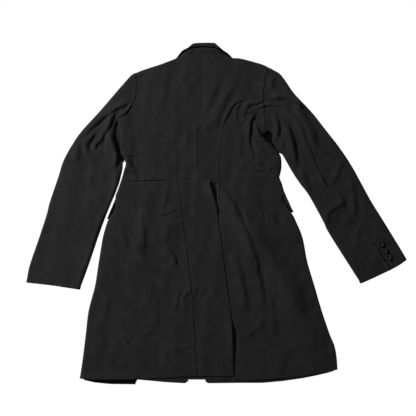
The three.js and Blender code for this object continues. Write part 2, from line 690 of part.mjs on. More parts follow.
// The under collar slopes from the neck seam down on to the leaf.
function collarFloor(x, y) {
  const part = THREE.MathUtils.clamp((ROLL_Y - y) / (ROLL_Y - NECK_Y), 0, 1);
  return THREE.MathUtils.lerp(COLLAR_FLOOR, LAYER + AIR, part);
}

function collar() {
  const centreTop = toPoint(EDGES.collarRollLeft.at(-1));
  const centreNeck = toPoint(EDGES.neckLeft.at(-1));
  const centre = straight(centreTop, centreNeck, STEPS.collar);
  const end = (roll, neck) => straight(toPoint(roll), toPoint(neck), STEPS.collar);
  const leafTop = edge('leafTop', STEPS.leafLength);
  const leafBottom = edge('leafBottom', STEPS.leafLength);
  return [
    clothPiece('under_collar_left', {
      top: edge('collarRollLeft', STEPS.neck),
      bottom: edge('neckLeft', STEPS.neck),
      left: end(EDGES.collarRollLeft[0], EDGES.neckLeft[0]),
      right: centre,
    }, collarFloor, COLLAR_WALL),
    clothPiece('under_collar_right', {
      top: edge('collarRollRight', STEPS.neck),
      bottom: edge('neckRight', STEPS.neck),
      left: centre,
      right: end(EDGES.collarRollRight.at(-1), EDGES.neckRight.at(-1)),
    }, collarFloor, COLLAR_WALL),
    clothPiece('collar_leaf', {
      top: leafTop,
      bottom: leafBottom,
      left: straight(leafTop[0], leafBottom[0], STEPS.leaf),
      right: straight(leafTop.at(-1), leafBottom.at(-1), STEPS.leaf),
    }, () => 0, COLLAR_WALL),
  ];
}

// ---- The whole jacket ----------------------------------------------------------------------

const jacket = new THREE.Group();
jacket.add(
  ...bodiceBack(), ...bodiceSides(), ...bodiceFronts(), ...skirtBack(), ...skirtFronts(),
  ...pocketFlaps(), ...sleeveLeft(), ...sleeveRight(), ...collar(),
  ...Array.from({ length: CUFF_BUTTONS }, (_, i) => cuffButton(i)));

export default jacket;
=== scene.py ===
"""A woman's black tailored long jacket, lying face down on a white table, arms spread.

The cloth is modelled as thin shells over the frame's solids. Plan sizes are in millimetres in
the frame's own axes: +X to the wearer's right sleeve, +Y to the collar, z = 0 on the table.
Each shell is a grid between four edges, raised by one height field that all panels share, so
folds run across seams. Folded edges roll down to the table and return under, and hems turn in.
"""
import math

import bpy
import numpy as np
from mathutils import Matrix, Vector


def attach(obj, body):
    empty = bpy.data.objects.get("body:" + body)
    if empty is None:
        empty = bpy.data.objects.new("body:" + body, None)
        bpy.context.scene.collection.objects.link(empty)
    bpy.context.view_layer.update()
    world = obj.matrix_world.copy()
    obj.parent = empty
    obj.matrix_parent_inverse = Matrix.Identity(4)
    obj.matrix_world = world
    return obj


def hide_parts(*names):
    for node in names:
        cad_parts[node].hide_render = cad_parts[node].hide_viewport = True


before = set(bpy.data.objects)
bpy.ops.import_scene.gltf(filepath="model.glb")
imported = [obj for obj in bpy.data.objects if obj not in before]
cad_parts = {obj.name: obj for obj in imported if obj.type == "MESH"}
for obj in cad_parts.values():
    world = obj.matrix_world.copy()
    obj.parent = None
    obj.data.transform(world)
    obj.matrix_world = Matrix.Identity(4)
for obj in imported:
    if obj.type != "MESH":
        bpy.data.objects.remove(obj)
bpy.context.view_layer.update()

MM = 0.001

# ---- Sizes of the cloth, in millimetres ----

WALL = 2.0                  # the solids' wall, so the shells' outer faces meet the solids'
LAYER = 2.3                 # a wall and the gap above it
AIR = 2.4                   # between the back and what it lies on
LEAST_AIR = 0.2
CLOTH = 0.8                 # thickness of the cloth itself
TABLE_GAP = 0.85            # the lowest cloth's outer face: its own thickness and a little air
ROLL_WIDTH = 9.0            # a folded edge rises within this distance
UNDER_INSET = 10.0          # folded edges of the front lie this far inside the back's
TURN_WIDTH = 1.8            # a turned hem rounds over within this distance of its edge
TURN_DEPTH = 1.1            # half the thickness of a turned hem
WAIST_Y = 90.5              # the waist seam's height where x is 0
WAIST_SLOPE = 0.0236

FINE = 8                    # grid lines to each step of an edge
CURVE_SAMPLES = 24          # points that a spline is measured by, between two of its rows


def at_waist(x):
    return (x, WAIST_Y + WAIST_SLOPE * x)


# Steps along each edge, by its own name or its name for both sides. Panels that share a seam
# share its steps.
STEPS = dict(
    armhole_upper=4, armhole_middle=5, armhole_lower=3, armhole_front=4, shoulder=6, neck=3,
    centre_seam=14, princess=10, side_seam=10, side_fold=10, underarm=2, front_side=3,
    front_edge=11, front_shoulder=6, skirt_fold=16, pleat=16, underlay=16, hem_left=16,
    hem_right=18, front_skirt_edge=8, sleeve_outer=22, sleeve_inner_left=19,
    sleeve_inner_right=22, sleeve_seam=22, sleeve_front_inner_left=8,
    sleeve_front_inner_right=10, cuff_left=9, cuff_upper=4, cuff_under=8, collar_roll=3,
    collar_neck=3, leaf_top=12, leaf_bottom=12)
BACK_STEPS = 9              # steps along the straight edges of panels
CENTRE_STEPS = 6
UNDERLAY_STEPS = 2
FRONT_SIDES = (-244, 160)   # where the front skirts' folded edges begin at the waist: x
FRONT_STEPS = 6
FRONT_SKIRT_STEPS = 8
ARMHOLE_FRONT_STEPS = 2     # steps of the lower armhole where the front's panels meet it
SLEEVE_FRONT_STEPS = 12
COLLAR_STEPS = 3
LEAF_STEPS = 2
FLAP_STEPS = (6, 2)

# ---- Edges and seams: rows of x, y ----

EDGES = {
    "centre_seam": [(-36, 424), (-38, 382), (-41, 304), (-49, 236), (-49, 142), at_waist(-48)],
    "shoulder_left": [(-217, 376), (-195, 385), (-146, 401), (-87, 424)],
    "armhole_upper_left": [(-217, 376), (-214, 344), (-217, 308)],
    "armhole_middle_left": [(-217, 308), (-225, 293), (-232, 279)],
    "armhole_lower_left": [(-232, 279), (-246, 266), (-267, 250)],
    "princess_left": [(-217, 308), (-179, 301), (-149, 292), (-129, 271), (-115, 236),
        (-108, 190), at_waist(-104)],
    "side_seam_left": [(-232, 279), (-222, 234), (-213, 163), at_waist(-211)],
    "side_fold_left": [(-267, 250), (-258, 207), (-257, 165), (-244, 136), (-249, 112),
        at_waist(-257)],
    "underarm_left": [(-267, 250), (-266, 228), (-263, 190), (-247, 138)],
    "shoulder_right": [(21, 424), (43, 417), (66, 415), (119, 401), (141, 391)],
    "armhole_upper_right": [(141, 391), (133, 363), (126, 317), (127, 305)],
    "armhole_middle_right": [(127, 305), (128, 290), (130, 277)],
    "armhole_lower_right": [(130, 277), (132, 250), (136, 217)],
    "princess_right": [(127, 305), (88, 304), (57, 294), (36, 270), (22, 234), (13, 188),
        at_waist(7)],
    "side_seam_right": [(130, 277), (110, 236), (102, 188), (102, 150), at_waist(105)],
    "side_fold_right": [(136, 217), (125, 210), (130.5, 199.5), (139.5, 190), (147.5, 184.5),
        (156, 175), (165, 165), (174, 150), (176, 125), (174, 110), at_waist(170)],
    "underarm_right": [(136, 217), (143, 203), (155, 183), (171, 160)],
    "skirt_fold_left": [at_waist(-257), (-265, 61), (-271, 44), (-271, 24), (-274, 6),
        (-285, -12), (-294, -27), (-306, -69), (-317, -134), (-327, -198), (-344, -263),
        (-352, -328), (-360, -393), (-368, -448)],
    "skirt_fold_right": [at_waist(170), (177, 77), (182, 60), (185, 47), (176, 41.5), (181, 32),
        (188, 21), (197, 8), (202, 0), (207, -8), (214, -22), (233, -69), (246, -134),
        (265, -198), (284, -263), (306, -328), (319, -360), (325, -393), (327, -424)],
    "pleat_left": [at_waist(-104), (-92, 1), (-80, -93), (-65, -215), (-57, -336), (-51, -441)],
    "pleat_right": [at_waist(-14), (-17, 78), (-12, 60), (-6, 42), (-0.5, 20), (3.5, -10),
        (6, -30), (12, -69), (26, -174), (40, -279), (46, -398), (46, -441)],
    "underlay_left": [at_waist(-32), (-36, 20), (-43, -101), (-44, -209), (-46, -320),
        (-49, -385), (-70, -420), (-81, -451)],
    "underlay_right": [at_waist(8), (9, 20), (-3, -101), (-14, -209), (-30, -320), (-33, -370),
        (-33, -451)],
    "hem_left": [(-368, -448), (-314, -450), (-214, -449), (-138, -446), (-51, -441)],
    "hem_right": [(-33, -451), (64, -453), (124, -451), (199, -444), (259, -437), (327, -424)],
    "front_edge_left": [(-45, 414), (-45, 300), (-46, 180), at_waist(-45)],
    "front_edge_right": [(-39, 414), (-39, 300), (-39, 180), at_waist(-39)],
    "front_skirt_edge_left": [at_waist(-45), (-52, -100), (-67, -300), (-76, -455)],
    "front_skirt_edge_right": [at_waist(-39), (-36, -100), (-31, -300), (-29, -456)],
    "sleeve_outer_left": [(-217, 376), (-230, 369), (-260, 336), (-316, 271), (-360, 223),
        (-384, 190), (-411, 142), (-427, 93), (-449, 28), (-457, -4), (-478, -69), (-503, -142),
        (-512, -189)],
    "sleeve_inner_left": [(-267, 250), (-276, 224), (-271, 174), (-252, 132), (-258, 93),
        (-268, 61), (-295, -4), (-319, -69), (-341, -134), (-368, -208)],
    "cuff_left": [(-512, -189), (-449, -196), (-408, -202), (-368, -208)],
    "sleeve_outer_right": [(141, 391), (153, 385), (176, 369), (211, 320), (257, 271), (295, 223),
        (333, 174), (365, 126), (392, 77), (419, 28), (449, -20), (479, -69), (508, -117),
        (512, -129)],
    "sleeve_inner_right": [(136, 217), (143, 220), (149, 215), (151.5, 204), (150.5, 192),
        (159, 178), (168, 167), (177, 157), (186, 142), (205, 109), (226, 77), (250, 45),
        (286, -20), (302, -53), (342, -117), (390, -192)],
    "sleeve_seam_right": [(127, 305), (183, 261), (240, 198), (294, 126), (342, 50), (402, -48),
        (472, -154)],
    "cuff_upper_right": [(512, -129), (493, -142), (472, -154)],
    "cuff_under_right": [(472, -154), (423, -177), (390, -192)],
    "armhole_front_left": [(-216, 364), (-214, 344), (-217, 308), (-232, 279)],
    "armhole_front_right": [(138, 378), (133, 355), (126, 317), (130, 277)],
    "front_shoulder_left": [(-216, 364), (-146, 390), (-87, 413), (-45, 414)],
    "front_shoulder_right": [(-39, 414), (21, 413), (64, 403), (116, 389), (138, 378)],
    "front_side_left": [(-247, 138), (-238, 125), (-241, 108), at_waist(-244)],
    "front_side_right": [(171, 160), (167, 140), (165, 115), at_waist(160)],
    "sleeve_front_inner_left": [(-247, 138), (-262, 124), (-276, 84), (-313, -1), (-348, -109),
        (-380, -204)],
    "sleeve_front_inner_right": [(171, 160), (190, 147), (226, 98), (270, 31), (312, -45),
        (358, -121), (397, -184)],
    "neck_left": [(-87, 424), (-60, 424), (-36, 424)],
    "neck_right": [(-36, 424), (-8, 424), (21, 424)],
    "collar_roll_left": [(-101, 417), (-90, 428), (-74, 437.5), (-60, 442), (-44, 444),
        (-25, 444.3)],
    "collar_roll_right": [(-25, 444.3), (-10, 443), (2, 439.5), (14, 432), (25, 424.5),
        (35, 416)],
    "collar_neck_left": [(-96, 413), (-84, 420), (-60, 422), (-25, 422)],
    "collar_neck_right": [(-25, 422), (-8, 422), (17, 420), (31, 413)],
    "leaf_top": [(-108, 416), (-100, 427), (-91, 437), (-78, 444), (-69, 450.5), (-60, 456),
        (-36, 457.5), (-12, 457.5), (-2, 455.5), (8, 446.5), (18, 439), (34, 427), (43, 417)],
    "leaf_bottom": [(-110, 412), (-90, 414), (-60, 418), (-8, 418), (22, 414), (45, 411)],
}
FRONT_HEM_LEFT = [(-358, -452), (-327, -459), (-287, -463), (-219, -464), (-213, -451),
    (-179, -454), (-138, -458), (-84, -461), (-76, -455)]
FRONT_HEM_RIGHT = [(-29, -456), (-22, -461), (64, -460), (124, -460), (180, -455), (230, -448),
    (270, -440), (300, -433), (317, -428)]

FLAPS = {
    "pocket_flap_left": dict(left_top=(-271, 40), left_bottom=(-295, -17),
                             right_top=(-160, 6), right_bottom=(-174, -44)),
    "pocket_flap_right": dict(left_top=(74, 26), left_bottom=(92, -26),
                              right_top=(185, 52), right_bottom=(208, 1)),
}

PAINTED_SHADE_LEFT_OF = -216          # left of here the left front's hem and the left flap get the near-black lining as painted shade
SHADED_ARM_OPENING = (120, 160, 180, 226)      # where the lowest layer under the right arm gets the near-black lining as painted shade: left, right, bottom, top

# Folds: height, the half-width of the gentle side, that of the steep side, the depth of the
# crease at its foot, and the line of the steep side. The cloth falls to the left of its way.
FOLDS = [
    # skirt, right of the pleat
    (5.0, 20, 8, 1.2, [(13, 80), (26, 55), (43, 31), (59, 1), (75, -36), (91, -74), (102, -109),
        (113, -147), (121, -188), (129, -231), (137, -274)]),
    (10.0, 38, 27, 0.0, [(48, 66), (72, 26), (123, -61), (175, -134), (217, -214), (250, -290),
        (291, -371)]),
    (3.6, 15, 9, 0.3, [(45, -101), (59, -134), (70, -169), (75, -209), (83, -244), (86, -279)]),
    (2.6, 12, 9, 0.3, [(137, -209), (148, -236), (156, -269), (161, -306), (169, -344)]),
    (1.8, 12, 8, 0.2, [(137, -285), (115, -312), (94, -331), (80, -347)]),
    (2.4, 10, 9, 0.1, [(232, -363), (202, -374), (175, -379)]),
    (1.6, 9, 7, 0.1, [(37, -58), (53, -80), (64, -107)]),
    (2.5, 12, 9, 0.1, [(72, 72), (105, 47), (129, 20)]),
    (1.3, 5, 4, 0.5, [(118, 18), (126, -1), (129, -20)]),
    (1.6, 5, 4, 0.5, [(137, 1), (142, -12), (145, -28)]),
    # skirt, left of the pleat
    (2.1, 12, 6, 0.4, [(-206, 18), (-198, -4), (-195, -42), (-192, -80), (-187, -117)]),
    (4.2, 14, 9, 1.0, [(-141, -151), (-165, -153), (-187, -148), (-204, -134), (-213, -115),
        (-219, -92), (-225, -72)]),
    (0.8, 10, 6, 0.2, [(-222, -53), (-217, -85), (-211, -112)]),
    (1.4, 10, 7, 0.2, [(-254, -20), (-249, -53), (-241, -82), (-233, -115), (-230, -150),
        (-230, -180)]),
    (2.9, 12, 5, 0.9, [(-136, -82), (-128, -99), (-117, -112), (-109, -128), (-103, -150)]),
    (2.0, 12, 9, 0.2, [(-119, -28), (-128, -55), (-133, -88)]),
    (1.3, 10, 5, 0.4, [(-122, 85), (-130, 61), (-133, 34), (-138, 12), (-146, -1)]),
    (1.6, 9, 5, 0.5, [(-101, 9), (-122, 1), (-138, -4), (-157, -12)]),
    (2.4, 14, 9, 0.3, [(-168, -171), (-171, -204), (-176, -234), (-182, -266)]),
    (2.2, 9, 6, 0.4, [(-62, -200), (-76, -222), (-88, -250)]),
    (2.0, 8, 6, 0.4, [(-44, -193), (-55, -215), (-60, -236)]),
    (2.3, 9, 6, 0.4, [(-92, -209), (-103, -234), (-109, -272)]),
    (1.8, 8, 6, 0.3, [(-22, -190), (-33, -212), (-43, -238)]),
    (1.2, 5, 4, 0.4, [(-63, -239), (-76, -247), (-87, -261)]),
    (2.0, 7, 5, 1.0, [(-214, -379), (-233, -371), (-246, -360), (-257, -344)]),
    (2.2, 12, 9, 0.1, [(-279, -217), (-287, -247), (-292, -277), (-298, -306)]),
    (1.8, 8, 6, 0.3, [(-68, -360), (-98, -369), (-128, -363)]),
    (1.5, 8, 6, 0.2, [(-74, -293), (-95, -306), (-117, -315)]),
    (1.5, 8, 6, 0.2, [(-171, -312), (-184, -331), (-209, -325)]),
    (0.8, 6, 5, 0.3, [(-225, 34), (-219, 15), (-219, -9)]),
    (0.7, 6, 5, 0.3, [(-236, 12), (-230, -7), (-227, -28)]),
    (1.0, 12, 10, 0.1, [(-33, 34), (-71, 20), (-92, 1)]),
    # bodice
    (2.4, 14, 9, 0.2, [(22, 360), (8, 338), (-6, 311), (-19, 282), (-27, 263)]),
    (3.4, 16, 11, 0.3, [(66, 360), (45, 330), (29, 303), (13, 276), (-4, 247), (-22, 220),
        (-36, 196)]),
    (2.2, 10, 8, 0.2, [(38, 296), (22, 270), (8, 244), (-6, 214)]),
    (2.0, 7, 4, 0.9, [(84, 309), (67, 300), (50, 294), (38, 274), (27, 252), (18, 228)]),
    (3.2, 8, 5, 1.4, [(134, 300), (116, 296), (96, 290), (80, 277), (72, 258)]),
    (1.8, 7, 4, 0.8, [(75, 296), (59, 282), (56, 261), (61, 244)]),
    (2.2, 6, 3.5, 1.0, [(110, 263), (91, 271), (80, 266), (75, 252)]),
    (1.4, 6, 4, 0.6, [(88, 261), (78, 244), (61, 234), (40, 225)]),
    (5.0, 12, 5, 2.2, [(110, 268), (101, 256), (95, 240), (92, 222), (91, 200)]),
    (2.8, 9, 4, 1.2, [(93, 232), (91, 208), (92, 190), (95, 170), (102, 152), (112, 140)]),
    (2.3, 12, 9, 0.1, [(75, 239), (72, 207), (72, 174), (64, 142)]),
    (3.0, 8, 6, 0.5, [(105, 158), (115, 144), (126, 128)]),
    (3.0, 12, 4, 1.0, [(134, 112), (107, 112), (86, 117), (70, 128), (59, 144)]),
    (1.7, 6, 4, 0.7, [(167, 126), (148, 120), (137, 104)]),
    (1.2, 8, 6, 0.2, [(-211, 304), (-190, 298), (-176, 279), (-173, 252)]),
    (1.2, 9, 7, 0.1, [(-149, 198), (-168, 212), (-192, 220)]),
    (1.4, 14, 9, 0.1, [(-41, 387), (-71, 366), (-92, 339)]),
    (1.2, 9, 7, 0.1, [(-57, 358), (-71, 328), (-79, 298)]),
    (2.6, 6, 4, 1.0, [(-211, 150), (-236, 153), (-257, 161)]),
    (3.0, 8, 7, 0.6, [(-249, 153), (-230, 134), (-211, 104)]),
    (1.0, 10, 8, 0.1, [(-119, 336), (-138, 312), (-144, 277)]),
    (4.0, 8, 4, 0.0, [(109, 246), (109, 230), (116, 215), (124, 203), (134, 193), (148, 181),
        (160, 168)]),
    # left sleeve
    (2.2, 10, 5, 0.0, [(-259, 126), (-272, 62), (-299, -4), (-323, -69), (-345, -134),
        (-370, -204)]),
    (4.2, 13, 5.5, 1.6, [(-216, 306), (-238, 294), (-260, 283), (-281, 270), (-303, 256),
        (-322, 240), (-346, 218), (-362, 196)]),
    (5.2, 9, 7, 2.2, [(-257, 282), (-273, 266), (-284, 244), (-295, 217), (-306, 196),
        (-322, 177)]),
    (6.0, 9, 6, 1.5, [(-287, 228), (-279, 201), (-268, 171), (-265, 142), (-273, 109)]),
    (3.3, 7, 4.5, 1.4, [(-322, 222), (-338, 198), (-342, 172), (-328, 156), (-303, 146)]),
    (3.4, 6, 3.5, 1.3, [(-306, 198), (-322, 185), (-325, 171), (-308, 163), (-290, 161)]),
    (3.0, 8, 5, 0.8, [(-344, 207), (-349, 180), (-341, 155), (-325, 136)]),
    (3.2, 9, 9, 0.3, [(-358, 196), (-368, 172), (-374, 150), (-376, 130)]),
    (1.5, 9, 7, 0.2, [(-330, 126), (-335, 96), (-341, 66)]),
    (0.9, 9, 8, 0.0, [(-408, 126), (-403, 96), (-403, 66)]),
    (1.0, 8, 6, 0.1, [(-314, 134), (-300, 112), (-306, 80), (-311, 50)]),
    (1.4, 5, 3, 0.7, [(-222, 296), (-236, 277), (-249, 263), (-265, 255)]),
    (0.7, 10, 9, 0.0, [(-422, -7), (-427, -61), (-433, -115)]),
    # right sleeve
    (9.0, 16, 4.5, 1.0, [(236, 270), (218, 287), (199, 298), (178, 304), (158, 308), (138, 308)]),
    (3.2, 7, 4, 1.4, [(204, 276), (186, 285), (164, 288), (140, 286), (120, 281), (104, 274)]),
    (5.0, 12, 7, 0.9, [(186, 288), (210, 262), (228, 236), (240, 208), (245, 184)]),
    (3.0, 9, 6, 0.8, [(238, 212), (246, 184), (257, 152), (272, 122), (286, 98)]),
    (7.0, 12, 11, 0.6, [(206, 298), (224, 278), (240, 258), (252, 236), (262, 212), (272, 188),
        (282, 168)]),
    (3.8, 9, 4, 1.2, [(313, 147), (291, 158), (275, 166), (259, 174), (240, 185)]),
    (1.8, 8, 5, 0.4, [(272, 147), (291, 123), (313, 96)]),
    (4.0, 8, 5, 1.6, [(156, 271), (164, 250), (169, 228), (169, 209), (156, 196)]),
    (4.4, 12, 8, 1.2, [(186, 252), (192, 236), (198, 216), (206, 192), (214, 166), (218, 138),
        (214, 118)]),
    (1.8, 6, 4, 0.5, [(188, 198), (180, 182), (172, 171)]),
    (2.2, 7, 5, 0.4, [(161, 369), (153, 347), (148, 323)]),
    (2.4, 12, 8, 0.2, [(350, 144), (334, 120), (326, 96), (315, 66)]),
    (3.0, 12, 8, 0.3, [(356, 104), (367, 72), (375, 42), (377, 12), (377, -12)]),
    (3.6, 12, 8, 0.6, [(353, 26), (329, 15), (313, 4), (304, -15), (302, -39)]),
    (2.4, 7, 5, 0.4, [(326, 61), (340, 36), (348, 12)]),
    (1.8, 6, 4, 0.4, [(345, -4), (361, -18), (375, -28)]),
    (1.9, 9, 8, 0.1, [(391, -36), (383, -72), (383, -107)]),
    (3.0, 9, 6, 0.4, [(277, 115), (288, 90), (302, 66)]),
    (2.8, 10, 7, 0.2, [(232, 126), (242, 93), (259, 55)]),
]

# Seams that show: the depth of the groove, how much of the line's start and end is left
# smooth, and the line or the name of its edge.
SEAMS = [
    (0.9, 0.14, 0.0, "centre_seam"),
    (0.8, 0.30, 0.0, "princess_left"),
    (1.0, 0.0, 0.0, "princess_right"),
    (0.5, 0.0, 0.0, "side_seam_left"),
    (0.6, 0.0, 0.0, "side_seam_right"),
    (1.5, 0.0, 0.0, "armhole_upper_left"),
    (1.0, 0.0, 0.0, "armhole_middle_left"),
    (1.0, 0.0, 0.0, "armhole_lower_left"),
    (1.6, 0.0, 0.0, "armhole_upper_right"),
    (1.4, 0.0, 0.0, "armhole_middle_right"),
    (1.4, 0.0, 0.0, "armhole_lower_right"),
    (0.8, 0.68, 0.0, "sleeve_seam_right"),
    (3.0, 0.12, 0.0, [(406, -52), (419, -76), (439, -105), (457, -131), (472, -154)]),
    (1.5, 0.0, 0.0, "pleat_left"),
    (0.8, 0.0, 0.2, [(9, 85), (9, 30), (8, -30)]),
    (0.5, 0.0, 0.3, [(110, 85), (115, 40), (126, -5)]),
    (0.5, 0.0, 0.3, [(-211, 82), (-214, 50), (-217, 12)]),
    (2.2, 0.0, 0.12, [(-17, 78), (-30, 84), (-44, 87), (-66, 90)]),
    (0.8, 0.05, 0.0, [(21, -355), (22, -400), (22, -440)]),
    (0.6, 0.1, 0.0, [(-345, -400), (-214, -401), (-70, -397)]),
    (0.25, 0.0, 0.1, [(60, -408), (160, -405), (305, -385)]),
]

FOLDED_EDGES = ["side_fold_left", "side_fold_right", "skirt_fold_left", "skirt_fold_right",
                "sleeve_outer_left", "sleeve_inner_left", "sleeve_outer_right",
                "sleeve_inner_right"]
ROLL_STEPS = 22             # steps of a shoulder, and a third of a folded edge's
COLLAR_ENDS = 4             # steps of each shoulder, next to the collar, that don't roll down

# ---- Curves ----


def spline(rows):
    """A dense run of points on the smooth curve through the rows."""
    rows = np.array(rows, float)
    padded = np.vstack([rows[:1], rows, rows[-1:]])
    t = np.linspace(0, 1, CURVE_SAMPLES, endpoint=False)[:, None]
    runs = []
    for p0, p1, p2, p3 in zip(padded, padded[1:], padded[2:], padded[3:]):
        v0 = (p2 - p0) / 2
        v1 = (p3 - p1) / 2
        runs.append((2 * p1 - 2 * p2 + v0 + v1) * t ** 3
                    + (3 * p2 - 3 * p1 - 2 * v0 - v1) * t ** 2 + v0 * t + p1)
    return np.vstack(runs + [rows[-1:]])


def picked(points, stations, numbers):
    """Places on a run of points whose own numbers are given."""
    return np.column_stack([np.interp(stations, numbers, points[:, i]) for i in (0, 1)])


def travel(points):
    """Distance travelled along a run, at each of its points."""
    return np.concatenate([[0], np.cumsum(np.hypot(*np.diff(points, axis=0).T))])


def spaced(points, count):
    """The same run in count equal stretches."""
    travelled = travel(points)
    return picked(points, np.linspace(0, travelled[-1], count + 1), travelled)


def edge(name, steps=None):
    kind = name if name in STEPS else name.rsplit("_", 1)[0]
    return spaced(spline(EDGES[name]), (steps or STEPS[kind]) * FINE)


def straight(a, b, steps):
    t = np.linspace(0, 1, steps * FINE + 1)[:, None]
    return np.array(a, float) * (1 - t) + np.array(b, float) * t


def polyline(rows):
    rows = np.array(rows, float)
    last = len(rows) - 1
    return picked(rows, np.linspace(0, last, last * FINE + 1), range(last + 1))


def join(*edges):
    return np.vstack([edges[0]] + [e[1:] for e in edges[1:]])


def moved_ends(points, first, last):
    """The run bent so that its ends are elsewhere."""
    t = np.linspace(0, 1, len(points))[:, None]
    return points + (np.array(first) - points[0]) * (1 - t) + (np.array(last) - points[-1]) * t


def shifted(points, distance):
    along = np.gradient(points, axis=0)
    along /= np.linalg.norm(along, axis=1, keepdims=True)
    return points + distance * np.column_stack([-along[:, 1], along[:, 0]])


def at(points, steps):
    """Places on an edge, by step number."""
    return picked(points, np.asarray(steps) * FINE, range(len(points)))


def nearest(places, line):
    """Distance to a line, share of it travelled there, and side: 1 on its left, -1 right."""
    best = np.full(len(places), np.inf)
    travelled = np.zeros(len(places))
    side = np.ones(len(places))
    count = len(line) - 1
    for i in range(count):
        run = line[i + 1] - line[i]
        offset = places - line[i]
        t = np.clip(offset @ run / (run @ run), 0, 1)
        away = offset - t[:, None] * run
        distance = np.hypot(away[:, 0], away[:, 1])
        closer = distance < best
        best[closer] = distance[closer]
        travelled[closer] = (i + t[closer]) / count
        side[closer] = np.sign(run[0] * away[closer, 1] - run[1] * away[closer, 0] + 1e-12)
    return best, travelled, side


def near(places, line, reach):
    low = line.min(axis=0) - reach
    high = line.max(axis=0) + reach
    return np.flatnonzero(((places > low) & (places < high)).all(axis=1))


# ---- Soft steps and waves ----

# Waves: seed, wavelength, height, and the factors on x and y.
WAVES = {
    "broad": (3, 95, 0.75, (1.0, 0.55)),
    "middle": (4, 38, 0.31, (1.0, 0.7)),
    "patches": (5, 120, 0.8),
    "crumple": (6, 13, 0.09),
    "fronts": (8, 60, 0.075),
    "collar": (9, 26, 0.18),
    "leaf": (10, 30, 0.12),
    "wander_x": (11, 55, 1.1),
    "wander_y": (12, 55, 1.1),
    "waist": (61, 22, 0.35, (1.0, 0.1)),
}
WAVES_ADDED = 28
WAVE_NUMBERS = (0.6, 1.5)   # the waves' numbers to a length, around one


def smooth(value, low=0.0, high=1.0):
    """0 up to low, 1 from high on."""
    t = np.clip((value - low) / (high - low), 0, 1)
    return t * t * (3 - 2 * t)


def between(value, rise, fall):
    """1 between two soft steps, 0 outside them."""
    return smooth(value, *rise) * (1 - smooth(value, *fall))


def ripple(places, seed, wavelength, height, squeeze=(1.0, 1.0)):
    """Soft uneven waves: many fixed random waves of about one length, added up."""
    rng = np.random.default_rng(seed)
    turn = rng.uniform(0, 2 * math.pi, WAVES_ADDED)
    number = 2 * math.pi / wavelength * rng.uniform(*WAVE_NUMBERS, WAVES_ADDED)
    phase = rng.uniform(0, 2 * math.pi, WAVES_ADDED)
    x, y = (places * np.array(squeeze)).T
    total = np.zeros(len(places))
    for angle, k, shift in zip(turn, number, phase):
        total += np.sin(k * (x * math.cos(angle) + y * math.sin(angle)) + shift)
    return height * total / math.sqrt(WAVES_ADDED / 2)


def waves(name, places):
    return ripple(places, *WAVES[name])


def varied(line, travelled, seed, wavelength, share, limit):
    """A factor around 1 that varies along a line."""
    along = np.column_stack([travelled * travel(line)[-1], np.zeros(len(travelled))])
    return 1 + np.clip(ripple(along, seed, wavelength, share), -limit, limit)


# ---- Folds, seams and folded edges ----

FOLD_STEPS = 6              # stretches between two rows of a fold's line
FOLD_FADE = 0.27            # share of a fold's length over which each end fades,
LONGEST_FADE = (24.0, 6.0)  # but no longer than this and this many crests
FOLD_REACH = 3.0            # a fold ends this many half-widths from its line
CREST_SHARE = 0.7           # the crest stands this share of the steep side behind the line
CREASE_SHARE = 0.95         # and the crease lies this share of it before the line
CREASE_WIDTH = (0.8, 0.45)  # it is this wide, and this share of the steep side
FOLD_SEED = 100
CREST_VARIES = (150, 0.12, 0.25)    # a crest's wavelength, share and limit

SEAM_STEPS = 40
SEAM_REACH = 14
SEAM_SEED = 40
SEAM_PUCKER = (18, 0.35, 0.7)       # wavelength, share and limit
SEAM_START = 0.04                   # a seam sets in over this share of it, to both sides,
SEAM_END = (0.05, 1.02)             # and fades over this share, up to here if nothing's smooth
ALLOWANCE = (0.65, 7, 0.7)          # height, width, and half the step at the seam
GROOVE = (0.55, 1.4)                # depth and half-width

# Where the cloth lies over a flap or an underarm: x, y, half width, half height, lift.
FLAP_REST = [(146, 14, 98, 66, 2.5), (-228, -4, 98, 66, 2.5)]
UNDERARM_REST = [(-262, 188, 30, 74, LAYER + 0.3), (154, 190, 46, 64, LAYER + 0.3)]
REST_FADE = 1.45            # a lift fades out up to this many times its own size,
BACK_SPREAD = 1.15          # and the back's is this much wider than the fronts'


def fold_height(places):
    height = np.zeros(len(places))
    places = places + np.column_stack([waves("wander_x", places), waves("wander_y", places)])
    for number, (crest, gentle, steep, crease, rows) in enumerate(FOLDS):
        line = spaced(spline(rows), FOLD_STEPS * (len(rows) - 1))
        here = near(places, line, FOLD_REACH * max(gentle, steep))
        distance, travelled, side = nearest(places[here], line)
        longest = (LONGEST_FADE[0] + LONGEST_FADE[1] * crest) / travel(line)[-1]
        ending = min(FOLD_FADE, longest)
        fade = smooth(travelled / ending) * smooth((1 - travelled) / ending)
        fade *= varied(line, travelled, FOLD_SEED + number, *CREST_VARIES)
        across = distance * side + CREST_SHARE * steep
        ridge = crest * np.exp(-(across / np.where(across > 0, steep, gentle)) ** 2)
        foot = (CREST_SHARE + CREASE_SHARE) * steep
        width = CREASE_WIDTH[0] + CREASE_WIDTH[1] * steep
        valley = crease * np.exp(-((across - foot) / width) ** 2)
        height[here] += fade * (ridge - valley)
    return height


